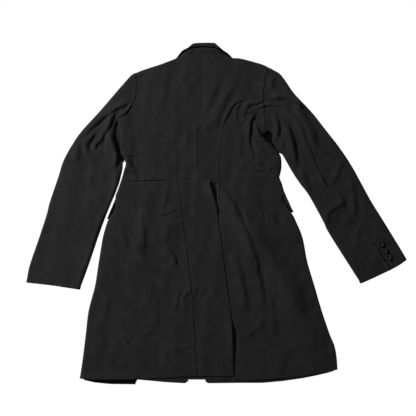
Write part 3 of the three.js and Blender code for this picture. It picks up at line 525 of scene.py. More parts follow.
def seam_relief(places):
    """A seam's allowances are pressed to one side, so the cloth falls to the left of its way,
    and puckers unevenly along it."""
    relief = np.zeros(len(places))
    for number, (depth, smooth_start, smooth_end, rows) in enumerate(SEAMS):
        line = spaced(spline(EDGES[rows] if isinstance(rows, str) else rows), SEAM_STEPS)
        here = near(places, line, SEAM_REACH)
        if not len(here):
            continue
        distance, travelled, side = nearest(places[here], line)
        pucker = varied(line, travelled, SEAM_SEED + number, *SEAM_PUCKER)
        fade = smooth(travelled, smooth_start - SEAM_START, smooth_start + SEAM_START)
        last = SEAM_END[1] - smooth_end
        fade *= 1 - smooth(travelled, last - SEAM_END[0], last)
        across = distance * side
        rise, width, step = ALLOWANCE
        allowance = np.exp(-(np.minimum(across, 0) / width) ** 2)
        allowance *= 1 - smooth(across, -step, step)
        groove = np.exp(-(across / GROOVE[1]) ** 2)
        relief[here] += fade * depth * (rise * pucker * allowance - GROOVE[0] * groove)
    return relief


def rest_lift(rests, places, spread=1.0):
    lift = np.zeros(len(places))
    for x, y, half_x, half_y, rise in rests:
        reach = np.hypot((places[:, 0] - x) / half_x, (places[:, 1] - y) / half_y) / spread
        lift += rise * (1 - smooth(reach, 1, REST_FADE))
    return lift


def folded_lines():
    lines = [edge("shoulder_left", ROLL_STEPS)[:-COLLAR_ENDS * FINE:FINE],
             edge("shoulder_right", ROLL_STEPS)[COLLAR_ENDS * FINE::FINE]]
    return lines + [spaced(spline(EDGES[name]), 3 * ROLL_STEPS) for name in FOLDED_EDGES]


FOLDED_LINES = folded_lines()


def rolled(places):
    """How far a folded edge has risen: 0 on the edge, 1 past the roll."""
    distance = np.full(len(places), np.inf)
    for line in FOLDED_LINES:
        here = near(places, line, ROLL_WIDTH)
        if len(here):
            distance[here] = np.minimum(distance[here], nearest(places[here], line)[0])
    return np.sqrt(1 - (1 - np.clip(distance / ROLL_WIDTH, 0, 1)) ** 2)


# ---- The back's height ----

LINE_STEPS = 60             # stretches of an edge that heights are measured from
HEM_Y = -450.0
HEM_FADE = 70.0             # from this far above the hem the air thins out,
HEM_AIR = 0.3               # down to this share
HEM_LIFT = 3.5              # the hem's left end stands off the front below it,
LIFT_FADE = 26              # over this height,
LIFTED_HEM = ((-372, -355), (-225, -200))       # between these soft steps in x
CALM_HEM = (-10, 40)        # above the hem, where the waves come to their height
CALM_SHARE = 0.4            # their share of it below that
SMOOTH_SHARE = 0.4          # the middle waves' share between the patches
WAIST_BAND = ((-2.2, 0.8), (4, 15))             # above the seam
WAIST_SHARP = ((-255, -225), (-150, -120))      # in x, as the next
WAIST_SIDES = ((-262, -250), (165, 176))
WAIST_GROOVE = (2.4, 1.8)   # distance under the seam, half-width
FAINT_GROOVE = 0.25         # depth everywhere,
SHARP_GROOVE = 1.6          # and the more at the left side
BAND_HEIGHT = 0.9


def waist_relief(places):
    """The waist seam's allowance lies upwards as a raised band. Its groove is sharp at the left
    side and faint elsewhere."""
    x = places[:, 0]
    above = places[:, 1] - at_waist(x)[1]
    sharp = FAINT_GROOVE + SHARP_GROOVE * between(x, *WAIST_SHARP)
    band = BAND_HEIGHT * between(above, *WAIST_BAND) * (0.5 + 0.4 * sharp)
    groove = sharp * np.exp(-((above + WAIST_GROOVE[0]) / WAIST_GROOVE[1]) ** 2)
    return between(x, *WAIST_SIDES) * ((1 + waves("waist", places)) * band - groove)


def surface_waves(places):
    """Broad and middle waves all over, with a fine crumple in patches. They calm at the hem."""
    patches = 0.5 + 0.5 * np.clip(waves("patches", places), -1, 1)
    total = waves("broad", places) + waves("middle", places) * (SMOOTH_SHARE + patches)
    total += waves("crumple", places) * patches
    return total * (CALM_SHARE + (1 - CALM_SHARE) * smooth(places[:, 1] - HEM_Y, *CALM_HEM))


def back_top(places):
    """Outer face of the cloth that shows, away from its edges."""
    x, y = places.T
    lift = rest_lift(FLAP_REST, places, BACK_SPREAD) + rest_lift(UNDERARM_REST, places)
    settled = HEM_AIR + (1 - HEM_AIR) * smooth(y, HEM_Y, HEM_Y + HEM_FADE)
    air = np.maximum(AIR * settled + fold_height(places) + surface_waves(places), LEAST_AIR)
    lifted_hem = HEM_LIFT * (1 - smooth(y, HEM_Y, HEM_Y + LIFT_FADE)) * between(x, *LIFTED_HEM)
    high = lift + LAYER + air + WALL + seam_relief(places) + waist_relief(places)
    return lift, high + lifted_hem


# ---- The pleat's height ----

PLEAT_STEP = 1.4            # the centre panel climbs this far on to the right skirt
CLIMB = (2, 3, 12)          # from beside its seam to short of the underlay's end, at least so long
BULGE_WIDTH = 13
BULGE_STEPS = 40            # stretches of the edge that it is measured from
# How far the panel's edge bulges up, from the hem up, and how wide the pleat stands open: y, size.
PLEAT_BULGE = [(-441, 0.5), (-400, 1.5), (-345, 3.0), (-310, 2.5), (-275, 0), (10, 0), (45, 5),
    (76, 6), (87, 0)]
PLEAT_OPENING = [(-441, 3), (-400, 7), (-355, 13), (-322, 13), (-285, 1), (95, 1)]
OPENING_SEEN = (1.0, 6.0)   # a dip sets in from the first of these widths to the second,
OPENING_EDGE = (-2.5, 2.0)  # and rises again between these distances past its width
OPENING_DEPTH = 0.85        # share of the cloth's height
PLEAT_PRESS = 1.9           # the right skirt is pressed down this far under the panel,
PRESSED_EDGE = (0.2, 2.6)   # which ends between these distances beside its edge
LEAST_GAP = 0.3
UNDERLAY_FOLD = [(20, -0.7), (80, 2.0)]     # where the underlay dives beside the panel: y, x
DIVE_WIDTH = 2.5
DIVE_START = (8, 24)        # in y, as the next two
UNDERLAY_TOP = (79, 81.5)
UNDERLAY_HEM = (-375, -325)
UNDERLAY_RISE = (0.5, 0.1)  # above the fronts, and as a share of the back's height


def by_height(y, rows):
    return np.interp(y, *np.array(rows, float).T)


def centre_top(places):
    """The centre panel climbs from its seam on to the right skirt. Its edge bulges up where
    the pleat opens."""
    x, y = places.T
    low, high = back_top(places)
    begin, end = (np.interp(y, *np.array(EDGES[name][::-1]).T[::-1])
                  for name in ("pleat_left", "underlay_right"))
    beside, short, least = CLIMB
    climb = smooth(x, begin + beside, np.maximum(end - short, begin + least))
    from_edge = nearest(places, spaced(spline(EDGES["pleat_right"]), BULGE_STEPS))[0]
    bulge = by_height(y, PLEAT_BULGE) * np.exp(-(from_edge / BULGE_WIDTH) ** 2)
    return low, high + PLEAT_STEP * climb + bulge


def underlay_top(places):
    """The pleat's underlay lies flat on the fronts, deep under the centre panel. It comes up
    at the waist seam and, just under the waist, beside the panel's edge."""
    x, y = places.T
    low, high = back_top(places)
    beside = smooth(x - by_height(y, UNDERLAY_FOLD), 0, DIVE_WIDTH) * smooth(y, *DIVE_START)
    raised = np.maximum(smooth(y, *UNDERLAY_TOP), beside)
    rise = (UNDERLAY_RISE[0] + UNDERLAY_RISE[1] * (high - low)) * smooth(y, *UNDERLAY_HEM)
    return low, (low + WALL + rise) * (1 - raised) + high * raised


def skirt_right_top(places):
    """The skirt is pressed down under the centre panel, and dips beside its edge where the
    pleat opens."""
    low, high = back_top(places)
    distance, _, side = nearest(places, spaced(spline(EDGES["pleat_right"]), LINE_STEPS))
    width = by_height(places[:, 1], PLEAT_OPENING)
    pressed = PLEAT_PRESS * (1 - smooth(distance * side, *PRESSED_EDGE))
    dip = (side > 0) * smooth(width, *OPENING_SEEN) * (1 - smooth(distance - width, *OPENING_EDGE))
    depth = OPENING_DEPTH * (high - low - WALL - LEAST_GAP)
    return low, high - np.maximum(pressed, dip * depth)


# ---- The fronts', flaps' and collar's height ----

FLAP_WALL = 1.8
FLAP_STAND = 6.5            # the right flap stands up this far
FLAP_EDGE = (3.4, 5.4)      # outside the skirt's edge
COLLAR_LOW = 5.2
COLLAR_RISE = 3.0
COLLAR_RISES = (425, 438)   # in y
COLLAR_SIDES = ((-104, -68), (4, 38))       # in x
ROLL_DROP = (1.2, 4)        # the roll's rounding: depth and width,
ENDS_DROP = (2.2, 16)       # and the more that the collar's ends curve down
COLLAR_MIDDLE = -29
TURN_WIDTHS = (3.8, 11.8)   # in the middle and at both sides
TURN_WIDENS = (31, 50)      # from the middle
LEAF_LOW = 1.2
LEAF_RISE = 5.6             # the leaf's outer edge stands up this far,
LEAF_EDGE = (-2.4, 0.6)     # around the turn's own edge


def front_top(places):
    lift = rest_lift(FLAP_REST, places)
    return lift, lift + WALL + waves("fronts", places)


def flap_top(places):
    """The right flap stands up beyond the skirt's edge, the left one lies in its shade."""
    distance, _, side = nearest(places, spaced(spline(EDGES["skirt_fold_right"]), LINE_STEPS))
    outside = np.where(side > 0, distance, 0)
    return np.zeros(len(places)), FLAP_WALL + FLAP_STAND * smooth(outside, *FLAP_EDGE)


def roll_line():
    return spaced(spline(EDGES["collar_roll_left"] + EDGES["collar_roll_right"][1:]), LINE_STEPS)


def collar_top(places):
    """The under collar comes from under the back's edge, rises, then curves down towards its
    roll and ends."""
    x, y = places.T
    from_roll = nearest(places, roll_line())[0]
    inner = between(x, *COLLAR_SIDES)
    body = COLLAR_LOW + COLLAR_RISE * smooth(y, *COLLAR_RISES) * inner
    drop = ROLL_DROP[0] * (1 - smooth(from_roll, 0, ROLL_DROP[1]))
    drop += ENDS_DROP[0] * (1 - inner) * (1 - smooth(from_roll, 0, ENDS_DROP[1]))
    return np.zeros(len(places)), body - drop + waves("collar", places)


def outside_roll(places):
    """Distance from the collar's roll, 0 on its inner side."""
    inside = places[:, 1] < np.interp(places[:, 0], *roll_line().T)
    return np.where(inside, 0, nearest(places, roll_line())[0])


def turn_width(places):
    """The collar's turn is a narrow strip behind the neck that widens to both sides."""
    narrow, wide = TURN_WIDTHS
    return narrow + (wide - narrow) * smooth(np.abs(places[:, 0] - COLLAR_MIDDLE), *TURN_WIDENS)


def leaf_top(places):
    """The leaf's outer edge stands up beyond the turn."""
    rise = smooth(outside_roll(places) - turn_width(places), *LEAF_EDGE)
    return np.zeros(len(places)), LEAF_LOW + LEAF_RISE * rise + waves("leaf", places)


# ---- Panels ----

SPACING = 2.1               # grid lines of the cloth that shows stand about this far apart,
HIDDEN_SPACING = 4.5        # those of the layers below it,
LEAF_SPACING = 1.2          # and those of the collar's leaf
STRAY_REACH = 8.0           # places this far outside a folded edge are moved back on to it
# More grid lines beside an edge, and those that return under it: distances from the edge.
SEAM_LINES_IN = (0.35, 0.8, 1.3)
ROLL_LINES_IN = (0.06, 0.25, 0.6, 1.1)
RETURN_LINES = (8.0, 5.5, 3.2, 1.8, 0.9, 0.4, 0.1)
ROLLING = (back_top, centre_top, underlay_top, skirt_right_top)
OUTSIDE = (1, -1, -1, 1)    # side of the top, bottom, left and right edges that lies outside


def grid_lines(steps, length, spacing, first, last):
    """Step numbers of the grid lines, and for each whether it returns under an edge."""
    step = length / steps
    inner = {"seam": SEAM_LINES_IN, "fold": ROLL_LINES_IN, "turn": ROLL_LINES_IN}
    lines = np.linspace(0, steps, max(round(length / spacing), steps) + 1)
    lines = np.concatenate([lines, np.array(inner[first]) / step,
                            steps - np.array(inner[last]) / step])
    back = np.array(RETURN_LINES) / step
    head = back if first != "seam" else back[:0]
    tail = steps - (back[::-1] if last != "seam" else back[:0])
    values = np.concatenate([head, np.sort(lines), tail])
    returns = np.concatenate([np.ones(len(head), bool), np.zeros(len(lines), bool),
                              np.ones(len(tail), bool)])
    return values, returns


def patch(top, bottom, left, right, across, down):
    """Fills the space between four edges. Top and bottom run left to right, the others down."""
    u = across[None, :, None] * FINE / (len(top) - 1)
    v = down[:, None, None] * FINE / (len(left) - 1)
    rows = at(top, across)[None] * (1 - v) + at(bottom, across)[None] * v
    columns = at(left, down)[:, None] * (1 - u) + at(right, down)[:, None] * u
    corners = (top[0] * (1 - u) * (1 - v) + top[-1] * u * (1 - v)
               + bottom[0] * (1 - u) * v + bottom[-1] * u * v)
    return rows + columns - corners


def kept_inside(places, line, outside):
    """The places with those that stray past a folded edge moved back on to it."""
    distance, travelled, side = nearest(places, line)
    stray = (side == outside) & (travelled > 0) & (travelled < 1) & (distance < STRAY_REACH)
    kept = places.copy()
    kept[stray] = at(line, travelled[stray] * (len(line) - 1) / FINE)
    return kept


def drawn(line, start, end):
    """The edge itself, or for a number of steps the straight line between two places."""
    return straight(start, end, line) if isinstance(line, int) else line


def panel(top, bottom, left, right, height, kinds, spacing=SPACING):
    """One panel's outer face, as points and quads. Two edges that face each other may be given
    as a number of steps. kinds says what its top, bottom, left and right edges are: seam, fold
    for one that rolls down to the table, turn for a turned hem."""
    if isinstance(left, int) or isinstance(right, int):
        left = drawn(left, top[0], bottom[0])
        right = drawn(right, top[-1], bottom[-1])
    top = drawn(top, left[0], right[0])
    bottom = drawn(bottom, left[-1], right[-1])
    width = np.linalg.norm(right - left, axis=1).mean()
    length = np.linalg.norm(bottom - top, axis=1).mean()
    across, across_returns = grid_lines((len(top) - 1) // FINE, width, spacing, kinds[2], kinds[3])
    down, down_returns = grid_lines((len(left) - 1) // FINE, length, spacing, kinds[0], kinds[1])
    plan = patch(top, bottom, left, right, across, down)
    rows, columns = plan.shape[:2]
    places = plan.reshape(-1, 2)
    for kind, line, outside in zip(kinds, (top, bottom, left, right), OUTSIDE):
        if kind == "fold":
            places = kept_inside(places, line, outside)

    head_down = np.repeat(np.arange(rows) < rows / 2, columns)
    head_across = np.tile(np.arange(columns) < columns / 2, rows)
    below_down = np.repeat(down_returns, columns)
    below_across = np.tile(across_returns, rows)
    sides = zip(kinds, (top, bottom, left, right), (
        below_down & head_down, below_down & ~head_down,
        below_across & head_across, below_across & ~head_across))

    low, high = height(places)
    low = low + TABLE_GAP
    roll = rolled(places) if height in ROLLING else np.ones(len(places))
    folded_under = np.zeros(len(places), bool)
    turned_under = np.zeros(len(places), bool)
    rounded = np.ones(len(places))
    for kind, line, returns in sides:
        if kind == "fold":
            folded_under |= returns
        if kind == "turn":
            turned_under |= returns
            inside = 1 - np.clip(nearest(places, line[::2])[0] / TURN_WIDTH, 0, 1)
            rounded = np.minimum(rounded, np.sqrt(1 - inside ** 2))
    middle = (high + low) / 2
    z = np.where(folded_under, middle - (middle - low) * roll, middle + (high - middle) * roll)
    drop = TURN_DEPTH * np.where(turned_under, 1 + rounded, 1 - rounded)
    z = np.maximum(z + np.where(folded_under, drop, -drop), TABLE_GAP)

    index = np.arange(rows * columns).reshape(rows, columns)
    quads = np.stack([index[:-1, :-1], index[1:, :-1], index[1:, 1:], index[:-1, 1:]], axis=-1)
    return np.column_stack([places, z]) * MM, quads.reshape(-1, 4)


def linked(name, points, faces, material):
    """A new smooth piece in the scene."""
    mesh = bpy.data.meshes.new(name)
    mesh.from_pydata(points, [], faces)
    mesh.polygons.foreach_set("use_smooth", np.ones(len(mesh.polygons), bool))
    mesh.update()
    piece = bpy.data.objects.new(name, mesh)
    piece.data.materials.append(material)
    bpy.context.scene.collection.objects.link(piece)
    return piece


def cloth(name, nodes, parts, painted_shade=None):
    """One piece of cloth that takes the place of its nodes. painted_shade picks the faces that
    get the near-black lining as painted shade, where the cloth lies in deep shadow."""
    points = np.vstack([part[0] for part in parts])
    starts = np.cumsum([0] + [len(part[0]) for part in parts])
    quads = np.vstack([part[1] + start for part, start in zip(parts, starts)])
    piece = linked(name, points.tolist(), quads.tolist(), JACKET)
    # The picked faces get the near-black lining: painted shade where the cloth lies in deep shadow.
    if painted_shade:
        piece.data.materials.append(SHADE_LINING)
        middles = points[quads].mean(axis=1) / MM
        piece.data.polygons.foreach_set("material_index", painted_shade(middles).astype(np.int32))
    shell = piece.modifiers.new("cloth", "SOLIDIFY")
    shell.thickness = CLOTH * MM
    shell.offset = -1
    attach(piece, "root")
    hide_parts(*nodes)


def shaded_arm_opening(middle):
    """The faces of the lowest layer that lie open under the right arm, given the near-black lining
    as painted shade.
    """
    x, y, z = middle.T
    left, right, bottom, top = SHADED_ARM_OPENING
    return (x > left) & (x < right) & (y > bottom) & (y < top) & (z < LAYER + WALL)


# The faces at the jacket's far left end, on the left front's hem and the left flap: painted shade,
# with the near-black lining.
def shaded_left_end(middle):
    return middle[:, 0] < PAINTED_SHADE_LEFT_OF


# The faces of the collar leaf's turn: painted shade, with the near-black lining.
def shaded_collar_turn(middle):
    return outside_roll(middle[:, :2]) < turn_width(middle)


# ---- Bodice ----


def bodice_back():
    kinds = ("fold", "seam", "seam", "seam")
    centre = edge("centre_seam")
    left = panel(join(edge("shoulder_left"), edge("neck_left")), BACK_STEPS,
                 join(edge("armhole_upper_left"), edge("princess_left")), centre, back_top, kinds)
    right = panel(join(edge("neck_right"), edge("shoulder_right")), BACK_STEPS, centre,
                  join(edge("armhole_upper_right"), edge("princess_right")), back_top, kinds)
    cloth("back_panel_left", ["back_left"], [left])
    cloth("back_panel_right", ["back_right"], [right])


def bodice_sides():
    plain = ("seam", "seam", "seam", "seam")
    middle = STEPS["armhole_middle"]
    lower = STEPS["armhole_lower"]
    side_back_left = panel(edge("armhole_middle_left")[::-1], middle, edge("side_seam_left"),
                           edge("princess_left"), back_top, plain)
    side_back_right = panel(edge("armhole_middle_right"), middle, edge("princess_right"),
                            edge("side_seam_right"), back_top, plain)
    side_left = panel(edge("armhole_lower_left")[::-1], lower, edge("side_fold_left"),
                      edge("side_seam_left"), back_top, ("seam", "seam", "fold", "seam"))
    side_right = panel(edge("armhole_lower_right"), lower, edge("side_seam_right"),
                       edge("side_fold_right"), back_top, ("seam", "seam", "seam", "fold"))
    cloth("side_back_panel_left", ["side_back_left"], [side_back_left])
    cloth("side_back_panel_right", ["side_back_right"], [side_back_right])
    cloth("side_panel_left", ["side_left"], [side_left])
    cloth("side_panel_right", ["side_right"], [side_right])


def front_outer_edge(side):
    return join(edge("armhole_front_" + side), edge("armhole_lower_" + side, ARMHOLE_FRONT_STEPS),
                edge("underarm_" + side), edge("front_side_" + side))


def bodice_fronts():
    left = panel(edge("front_shoulder_left"), FRONT_STEPS, front_outer_edge("left"),
                 edge("front_edge_left"), front_top, ("seam", "seam", "seam", "turn"),
                 HIDDEN_SPACING)
    right = panel(edge("front_shoulder_right"), FRONT_STEPS, edge("front_edge_right"),
                  front_outer_edge("right"), front_top, ("seam", "seam", "turn", "seam"),
                  HIDDEN_SPACING)
    cloth("front_panel_left", ["front_left"], [left])
    cloth("front_panel_right", ["front_right"], [right],
          painted_shade=shaded_arm_opening)


# ---- Skirt ----


def skirt_back():
    pleat_left = edge("pleat_left")
    underlay_right = edge("underlay_right")
    left = panel(STEPS["hem_left"], edge("hem_left"), edge("skirt_fold_left"), pleat_left,
                 back_top, ("seam", "turn", "fold", "seam"))
    centre = panel(CENTRE_STEPS, CENTRE_STEPS, pleat_left, edge("pleat_right"), centre_top,
                   ("seam", "turn", "seam", "turn"))
    underlay = panel(UNDERLAY_STEPS, UNDERLAY_STEPS, edge("underlay_left"), underlay_right,
                     underlay_top, ("seam", "turn", "seam", "seam"))
    right = panel(STEPS["hem_right"], edge("hem_right"), underlay_right,
                  edge("skirt_fold_right"), skirt_right_top, ("seam", "turn", "seam", "fold"))
    cloth("skirt_panel_left", ["skirt_left"], [left])
    cloth("skirt_panel_centre", ["skirt_centre"], [centre])
    cloth("pleat_underlay_panel", ["pleat_underlay"], [underlay])
    cloth("skirt_panel_right", ["skirt_right"], [right])


def skirt_fronts():
    steps = FRONT_SKIRT_STEPS
    edge_left = edge("front_skirt_edge_left")
    edge_right = edge("front_skirt_edge_right")
    hem_left = polyline(FRONT_HEM_LEFT)
    hem_right = polyline(FRONT_HEM_RIGHT)
    fold_left = moved_ends(shifted(edge("skirt_fold_left", steps), UNDER_INSET),
                           at_waist(FRONT_SIDES[0]), hem_left[0])
    fold_right = moved_ends(shifted(edge("skirt_fold_right", steps), -UNDER_INSET),
                            at_waist(FRONT_SIDES[1]), hem_right[-1])
    left = panel(steps, hem_left, fold_left, edge_left, front_top,
                 ("seam", "turn", "seam", "turn"), HIDDEN_SPACING)
    right = panel(steps, hem_right, edge_right, fold_right, front_top,
                  ("seam", "turn", "turn", "seam"), HIDDEN_SPACING)
    cloth("skirt_front_panel_left", ["skirt_front_left"], [left],
          painted_shade=shaded_left_end)
    cloth("skirt_front_panel_right", ["skirt_front_right"], [right])


def pocket_flaps():
    length, height = FLAP_STEPS
    for name, corners in FLAPS.items():
        top = straight(corners["left_top"], corners["right_top"], length)
        bottom = straight(corners["left_bottom"], corners["right_bottom"], length)
        flap = panel(top, bottom, height, height, flap_top, ("turn", "turn", "turn", "turn"))
        cloth(name + "_cloth", [name], [flap], painted_shade=shaded_left_end)


# ---- Sleeves ----


def sleeve_left():
    back = panel(join(edge("armhole_upper_left"), edge("armhole_middle_left")),
                 edge("cuff_left"), edge("sleeve_outer_left"),
                 join(edge("armhole_lower_left"), edge("sleeve_inner_left")),
                 back_top, ("seam", "turn", "fold", "fold"))

    top = edge("armhole_front_left")
    inner = join(edge("armhole_lower_left", ARMHOLE_FRONT_STEPS), edge("underarm_left"),
                 edge("sleeve_front_inner_left"))
    outer = shifted(edge("sleeve_outer_left", SLEEVE_FRONT_STEPS), UNDER_INSET)
    cuff = moved_ends(edge("cuff_left", STEPS["armhole_front"]), outer[-1], inner[-1])
    front = panel(top, cuff, moved_ends(outer, top[0], outer[-1]), inner, front_top,
                  ("seam", "turn", "seam", "seam"), HIDDEN_SPACING)
    cloth("sleeve_tube_left", ["sleeve_left_back", "sleeve_left_front"], [back, front])


def sleeve_right():
    seam = edge("sleeve_seam_right")
    under_top = join(edge("armhole_middle_right"), edge("armhole_lower_right"))[::-1]
    under = panel(under_top, edge("cuff_under_right")[::-1], edge("sleeve_inner_right"), seam,
                  back_top, ("seam", "turn", "fold", "seam"))
    upper = panel(edge("armhole_upper_right")[::-1], edge("cuff_upper_right")[::-1], seam,
                  edge("sleeve_outer_right"), back_top, ("seam", "turn", "seam", "fold"))

    top = join(edge("armhole_front_right"),
               edge("armhole_lower_right", ARMHOLE_FRONT_STEPS))[::-1]
    inner = join(edge("underarm_right"), edge("sleeve_front_inner_right"))
    outer = shifted(edge("sleeve_outer_right", SLEEVE_FRONT_STEPS), -UNDER_INSET)
    front = panel(top, STEPS["armhole_front"] + ARMHOLE_FRONT_STEPS, inner,
                  moved_ends(outer, top[-1], outer[-1]), front_top,
                  ("seam", "turn", "seam", "seam"), HIDDEN_SPACING)
    cloth("sleeve_tube_right", ["sleeve_right_under", "sleeve_right_upper", "sleeve_right_front"],
          [under, upper, front], painted_shade=shaded_arm_opening)


# ---- Collar ----


def collar():
    left = panel(edge("collar_roll_left"), edge("collar_neck_left"), COLLAR_STEPS, COLLAR_STEPS,
                 collar_top, ("turn", "seam", "turn", "seam"))
    right = panel(edge("collar_roll_right"), edge("collar_neck_right"), COLLAR_STEPS,
                  COLLAR_STEPS, collar_top, ("turn", "seam", "seam", "turn"))
    leaf = panel(edge("leaf_top"), edge("leaf_bottom"), LEAF_STEPS, LEAF_STEPS, leaf_top,
                 ("turn", "turn", "turn", "turn"), LEAF_SPACING)
    cloth("collar_stand_left", ["under_collar_left"], [left])
    cloth("collar_stand_right", ["under_collar_right"], [right])
    cloth("collar_fall", ["collar_leaf"], [leaf], painted_shade=shaded_collar_turn)


# ---- Buttons ----

BUTTON_ROW = ((443, -85), (464, -121))      # middles of the first and the last
BUTTON_HEIGHT = 3.4
BUTTON_GAP = 0.7            # its thread shank
BUTTON_TURNS = (20, 55, 90)                 # how each button's holes are turned, in degrees
HOLE_RADIUS = 0.85
HOLE_SPREAD = 1.55          # the holes' distance from the button's middle, along both axes
# The button's section, from the middle of its back round to the middle of its dished face.
BUTTON_SECTION = [(0, 0), (5.6, 0), (6.8, 0.45), (7.35, 1.1), (7.5, 1.9), (7.35, 2.7), (6.9, 3.2),
                  (6.3, 3.4), (5.7, 3.3), (5.2, 2.9), (4.7, 2.5), (4.0, 2.3), (2.4, 2.2), (0, 2.2)]
BUTTON_SIDES = 64
HOLE_SIDES = 16


def revolved(section, sides):
    points = [(0, 0, section[0][1])]
    for radius, z in section[1:-1]:
        turn = [2 * math.pi * i / sides for i in range(sides)]
        points += [(radius * math.cos(a), radius * math.sin(a), z) for a in turn]
    points.append((0, 0, section[-1][1]))
    rings = len(section) - 2
    faces = [(0, 1 + (i + 1) % sides, 1 + i) for i in range(sides)]
    for ring in range(rings - 1):
        a = 1 + ring * sides
        b = a + sides
        faces += [(a + i, a + (i + 1) % sides, b + (i + 1) % sides, b + i) for i in range(sides)]
    last = 1 + (rings - 1) * sides
    faces += [(last + i, last + (i + 1) % sides, len(points) - 1) for i in range(sides)]
    return points, faces


def solid(name, points, faces, place):
    piece = linked(name, [[c * MM for c in point] for point in points], faces, BUTTON)
    piece.location = [c * MM for c in place]
    return piece


def hole_cutter(place, angle):
    x = HOLE_SPREAD * math.sqrt(2) * math.cos(angle)
    y = HOLE_SPREAD * math.sqrt(2) * math.sin(angle)
    top = BUTTON_HEIGHT + 1
    points, faces = revolved([(0, -1), (HOLE_RADIUS, -1), (HOLE_RADIUS, top), (0, top)], HOLE_SIDES)
    return solid("hole_cutter", [(px + x, py + y, pz) for px, py, pz in points], faces, place)


def apply_modifiers(piece):
    graph = bpy.context.evaluated_depsgraph_get()
    made = bpy.data.meshes.new_from_object(piece.evaluated_get(graph))
    piece.modifiers.clear()
    piece.data = made


def cuff_buttons():
    ends = np.array(BUTTON_ROW, float)
    for i, turn in enumerate(BUTTON_TURNS):
        share = i / (len(BUTTON_TURNS) - 1)
        x, y = ends[0] * (1 - share) + ends[1] * share
        _, high = back_top(np.array([[x, y]]))
        place = (x, y, high[0] + BUTTON_GAP)
        button = solid(f"horn_button_{i + 1}", *revolved(BUTTON_SECTION, BUTTON_SIDES), place)
        cutters = [hole_cutter(place, math.radians(turn) + quarter * math.pi / 2)
                   for quarter in range(4)]
        for cutter in cutters:
            cut = button.modifiers.new("hole", "BOOLEAN")
            cut.operation = "DIFFERENCE"
            cut.object = cutter
            cut.solver = "EXACT"
        apply_modifiers(button)
        for cutter in cutters:
            bpy.data.objects.remove(cutter)
        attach(button, "root")
        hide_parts(f"cuff_button_{i + 1}")


# ---- Materials ----


def add(tree, kind, **inputs):
    node = tree.nodes.new(kind)
    for key, value in inputs.items():
        node.inputs[key.replace("_", " ")].default_value = value
    return node


def mottled(name, noise_sizes, dark, light, ramp=(0.0, 1.0)):
    """A material whose colour varies with a noise between dark and light. Gives the material,
    its tree, shader, coordinates and noise."""
    material = bpy.data.materials.new(name)
    material.use_nodes = True
    tree = material.node_tree
    shader = tree.nodes["Principled BSDF"]
    coordinates = tree.nodes.new("ShaderNodeTexCoord").outputs["Object"]
    noise = add(tree, "ShaderNodeTexNoise", **noise_sizes)
    colour = tree.nodes.new("ShaderNodeValToRGB")
    for stop, place, shade in zip(colour.color_ramp.elements, ramp, (dark, light)):
        stop.position = place
        stop.color = (*shade, 1)
    tree.links.new(coordinates, noise.inputs["Vector"])
    tree.links.new(noise.outputs["Fac"], colour.inputs["Fac"])
    tree.links.new(colour.outputs["Color"], shader.inputs["Base Color"])
    return material, tree, shader, coordinates, noise.outputs["Fac"]


def jacket_material():
    """Black wool twill: nearly black, matt, with a faint nap that catches the light."""
    material, tree, shader, coordinates, _ = mottled(
        "jacket_cloth", dict(Scale=45.0, Detail=5.0, Roughness=0.6),
        (0.0110, 0.0100, 0.0104), (0.0180, 0.0165, 0.0171), (0.3, 0.72))
    link = tree.links.new
    twill = add(tree, "ShaderNodeTexWave", Scale=380.0, Distortion=1.2, Detail=2.0)
    twill.bands_direction = "DIAGONAL"
    fuzz = add(tree, "ShaderNodeTexNoise", Scale=900.0, Detail=3.0, Roughness=0.7)
    weave = tree.nodes.new("ShaderNodeMath")
    weave.operation = "ADD"
    bump = add(tree, "ShaderNodeBump", Strength=0.35, Distance=0.0002)
    link(coordinates, twill.inputs["Vector"])
    link(coordinates, fuzz.inputs["Vector"])
    link(twill.outputs["Fac"], weave.inputs[0])
    link(fuzz.outputs["Fac"], weave.inputs[1])
    link(weave.outputs["Value"], bump.inputs["Height"])
    link(bump.outputs["Normal"], shader.inputs["Normal"])
    shader.inputs["Roughness"].default_value = 0.88
    shader.inputs["Specular IOR Level"].default_value = 0.25
    shader.inputs["Sheen Weight"].default_value = 0.12
    shader.inputs["Sheen Roughness"].default_value = 0.5
    return material


def shade_lining_material():
    """Near-black satin used as painted shade: it stands in for the deep shadow at the left front's
    hem, the left flap's end, the collar's turn and the opening under the right arm."""
    material, tree, shader, _, threads = mottled(
        "lining_painted_shade", dict(Scale=700.0, Detail=2.0, Roughness=0.5),
        (0.0014, 0.0013, 0.0015), (0.0028, 0.0026, 0.0029))
    bump = add(tree, "ShaderNodeBump", Strength=0.2, Distance=0.0001)
    tree.links.new(threads, bump.inputs["Height"])
    tree.links.new(bump.outputs["Normal"], shader.inputs["Normal"])
    shader.inputs["Roughness"].default_value = 0.65
    shader.inputs["Specular IOR Level"].default_value = 0.08
    return material


def button_material():
    """Black resin made like horn, with a soft gloss that varies in fine streaks."""
    material, tree, shader, _, streaks = mottled(
        "button_black", dict(Scale=260.0, Detail=4.0, Roughness=0.55),
        (0.015, 0.0142, 0.0142), (0.027, 0.0256, 0.0254))
    gloss = add(tree, "ShaderNodeMapRange", To_Min=0.5, To_Max=0.62)
    tree.links.new(streaks, gloss.inputs["Value"])
    tree.links.new(gloss.outputs["Result"], shader.inputs["Roughness"])
    shader.inputs["Specular IOR Level"].default_value = 0.22
    return material


# ---- Table, lights and camera ----

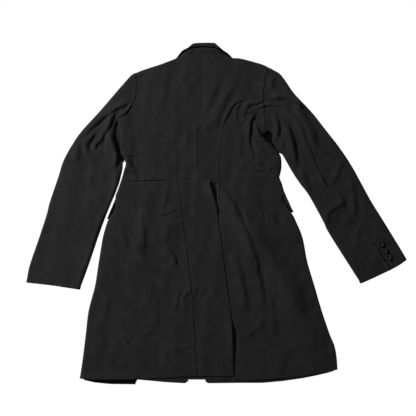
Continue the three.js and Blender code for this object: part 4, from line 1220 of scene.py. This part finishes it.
TABLE_SIZE = 12             # metres, as the camera's and lights' places
TABLE_GLOW = 1.02
KEY = dict(place=(-2.5, 1.45, 1.55), size=0.7, power=118)
FILL = dict(place=(0.6, -0.4, 3.4), size=2.5, power=14)
WORLD_STRENGTH = 0.1
VIEW_WIDTH = 416 * 2.7 * MM             # the photo's pixels, at 2.7 mm each
CAMERA_HEIGHT = 2.6
CAMERA_XY = (-22.3 * MM, 12.15 * MM)
SENSOR = 36.0


def table():
    """A white surface that glows a little, so it stays plain white under the jacket's edges."""
    material = bpy.data.materials.new("table_white")
    material.use_nodes = True
    shader = material.node_tree.nodes["Principled BSDF"]
    shader.inputs["Base Color"].default_value = (0.0, 0.0, 0.0, 1)
    shader.inputs["Specular IOR Level"].default_value = 0.0
    shader.inputs["Emission Color"].default_value = (1, 1, 1, 1)
    shader.inputs["Emission Strength"].default_value = TABLE_GLOW
    bpy.ops.mesh.primitive_plane_add(size=TABLE_SIZE)
    top = bpy.context.object
    top.name = "table"
    top.data.materials.append(material)


def area_light(name, place, size, power):
    data = bpy.data.lights.new(name, "AREA")
    data.shape = "DISK"
    data.size = size
    data.energy = power
    lamp = bpy.data.objects.new(name, data)
    lamp.location = place
    lamp.rotation_euler = (Vector((0, 0, 0)) - Vector(place)).to_track_quat("-Z", "Y").to_euler()
    bpy.context.scene.collection.objects.link(lamp)


def lights():
    area_light("key", **KEY)
    area_light("fill", **FILL)
    world = bpy.data.worlds.new("studio")
    world.use_nodes = True
    world.node_tree.nodes["Background"].inputs["Strength"].default_value = WORLD_STRENGTH
    bpy.context.scene.world = world


def camera():
    data = bpy.data.cameras.new("camera")
    data.sensor_width = SENSOR
    data.lens = SENSOR * CAMERA_HEIGHT / VIEW_WIDTH
    eye = bpy.data.objects.new("camera", data)
    eye.location = (*CAMERA_XY, CAMERA_HEIGHT)
    bpy.context.scene.collection.objects.link(eye)
    bpy.context.scene.camera = eye
    bpy.context.scene.view_settings.view_transform = "Standard"


# ---- The whole jacket ----

JACKET = jacket_material()
# Near-black lining laid on as painted shade where the jacket lies in deep shadow.
SHADE_LINING = shade_lining_material()
BUTTON = button_material()
camera()
lights()
table()
bodice_fronts()
skirt_fronts()
pocket_flaps()
bodice_back()
bodice_sides()
skirt_back()
sleeve_left()
sleeve_right()
collar()
cuff_buttons()
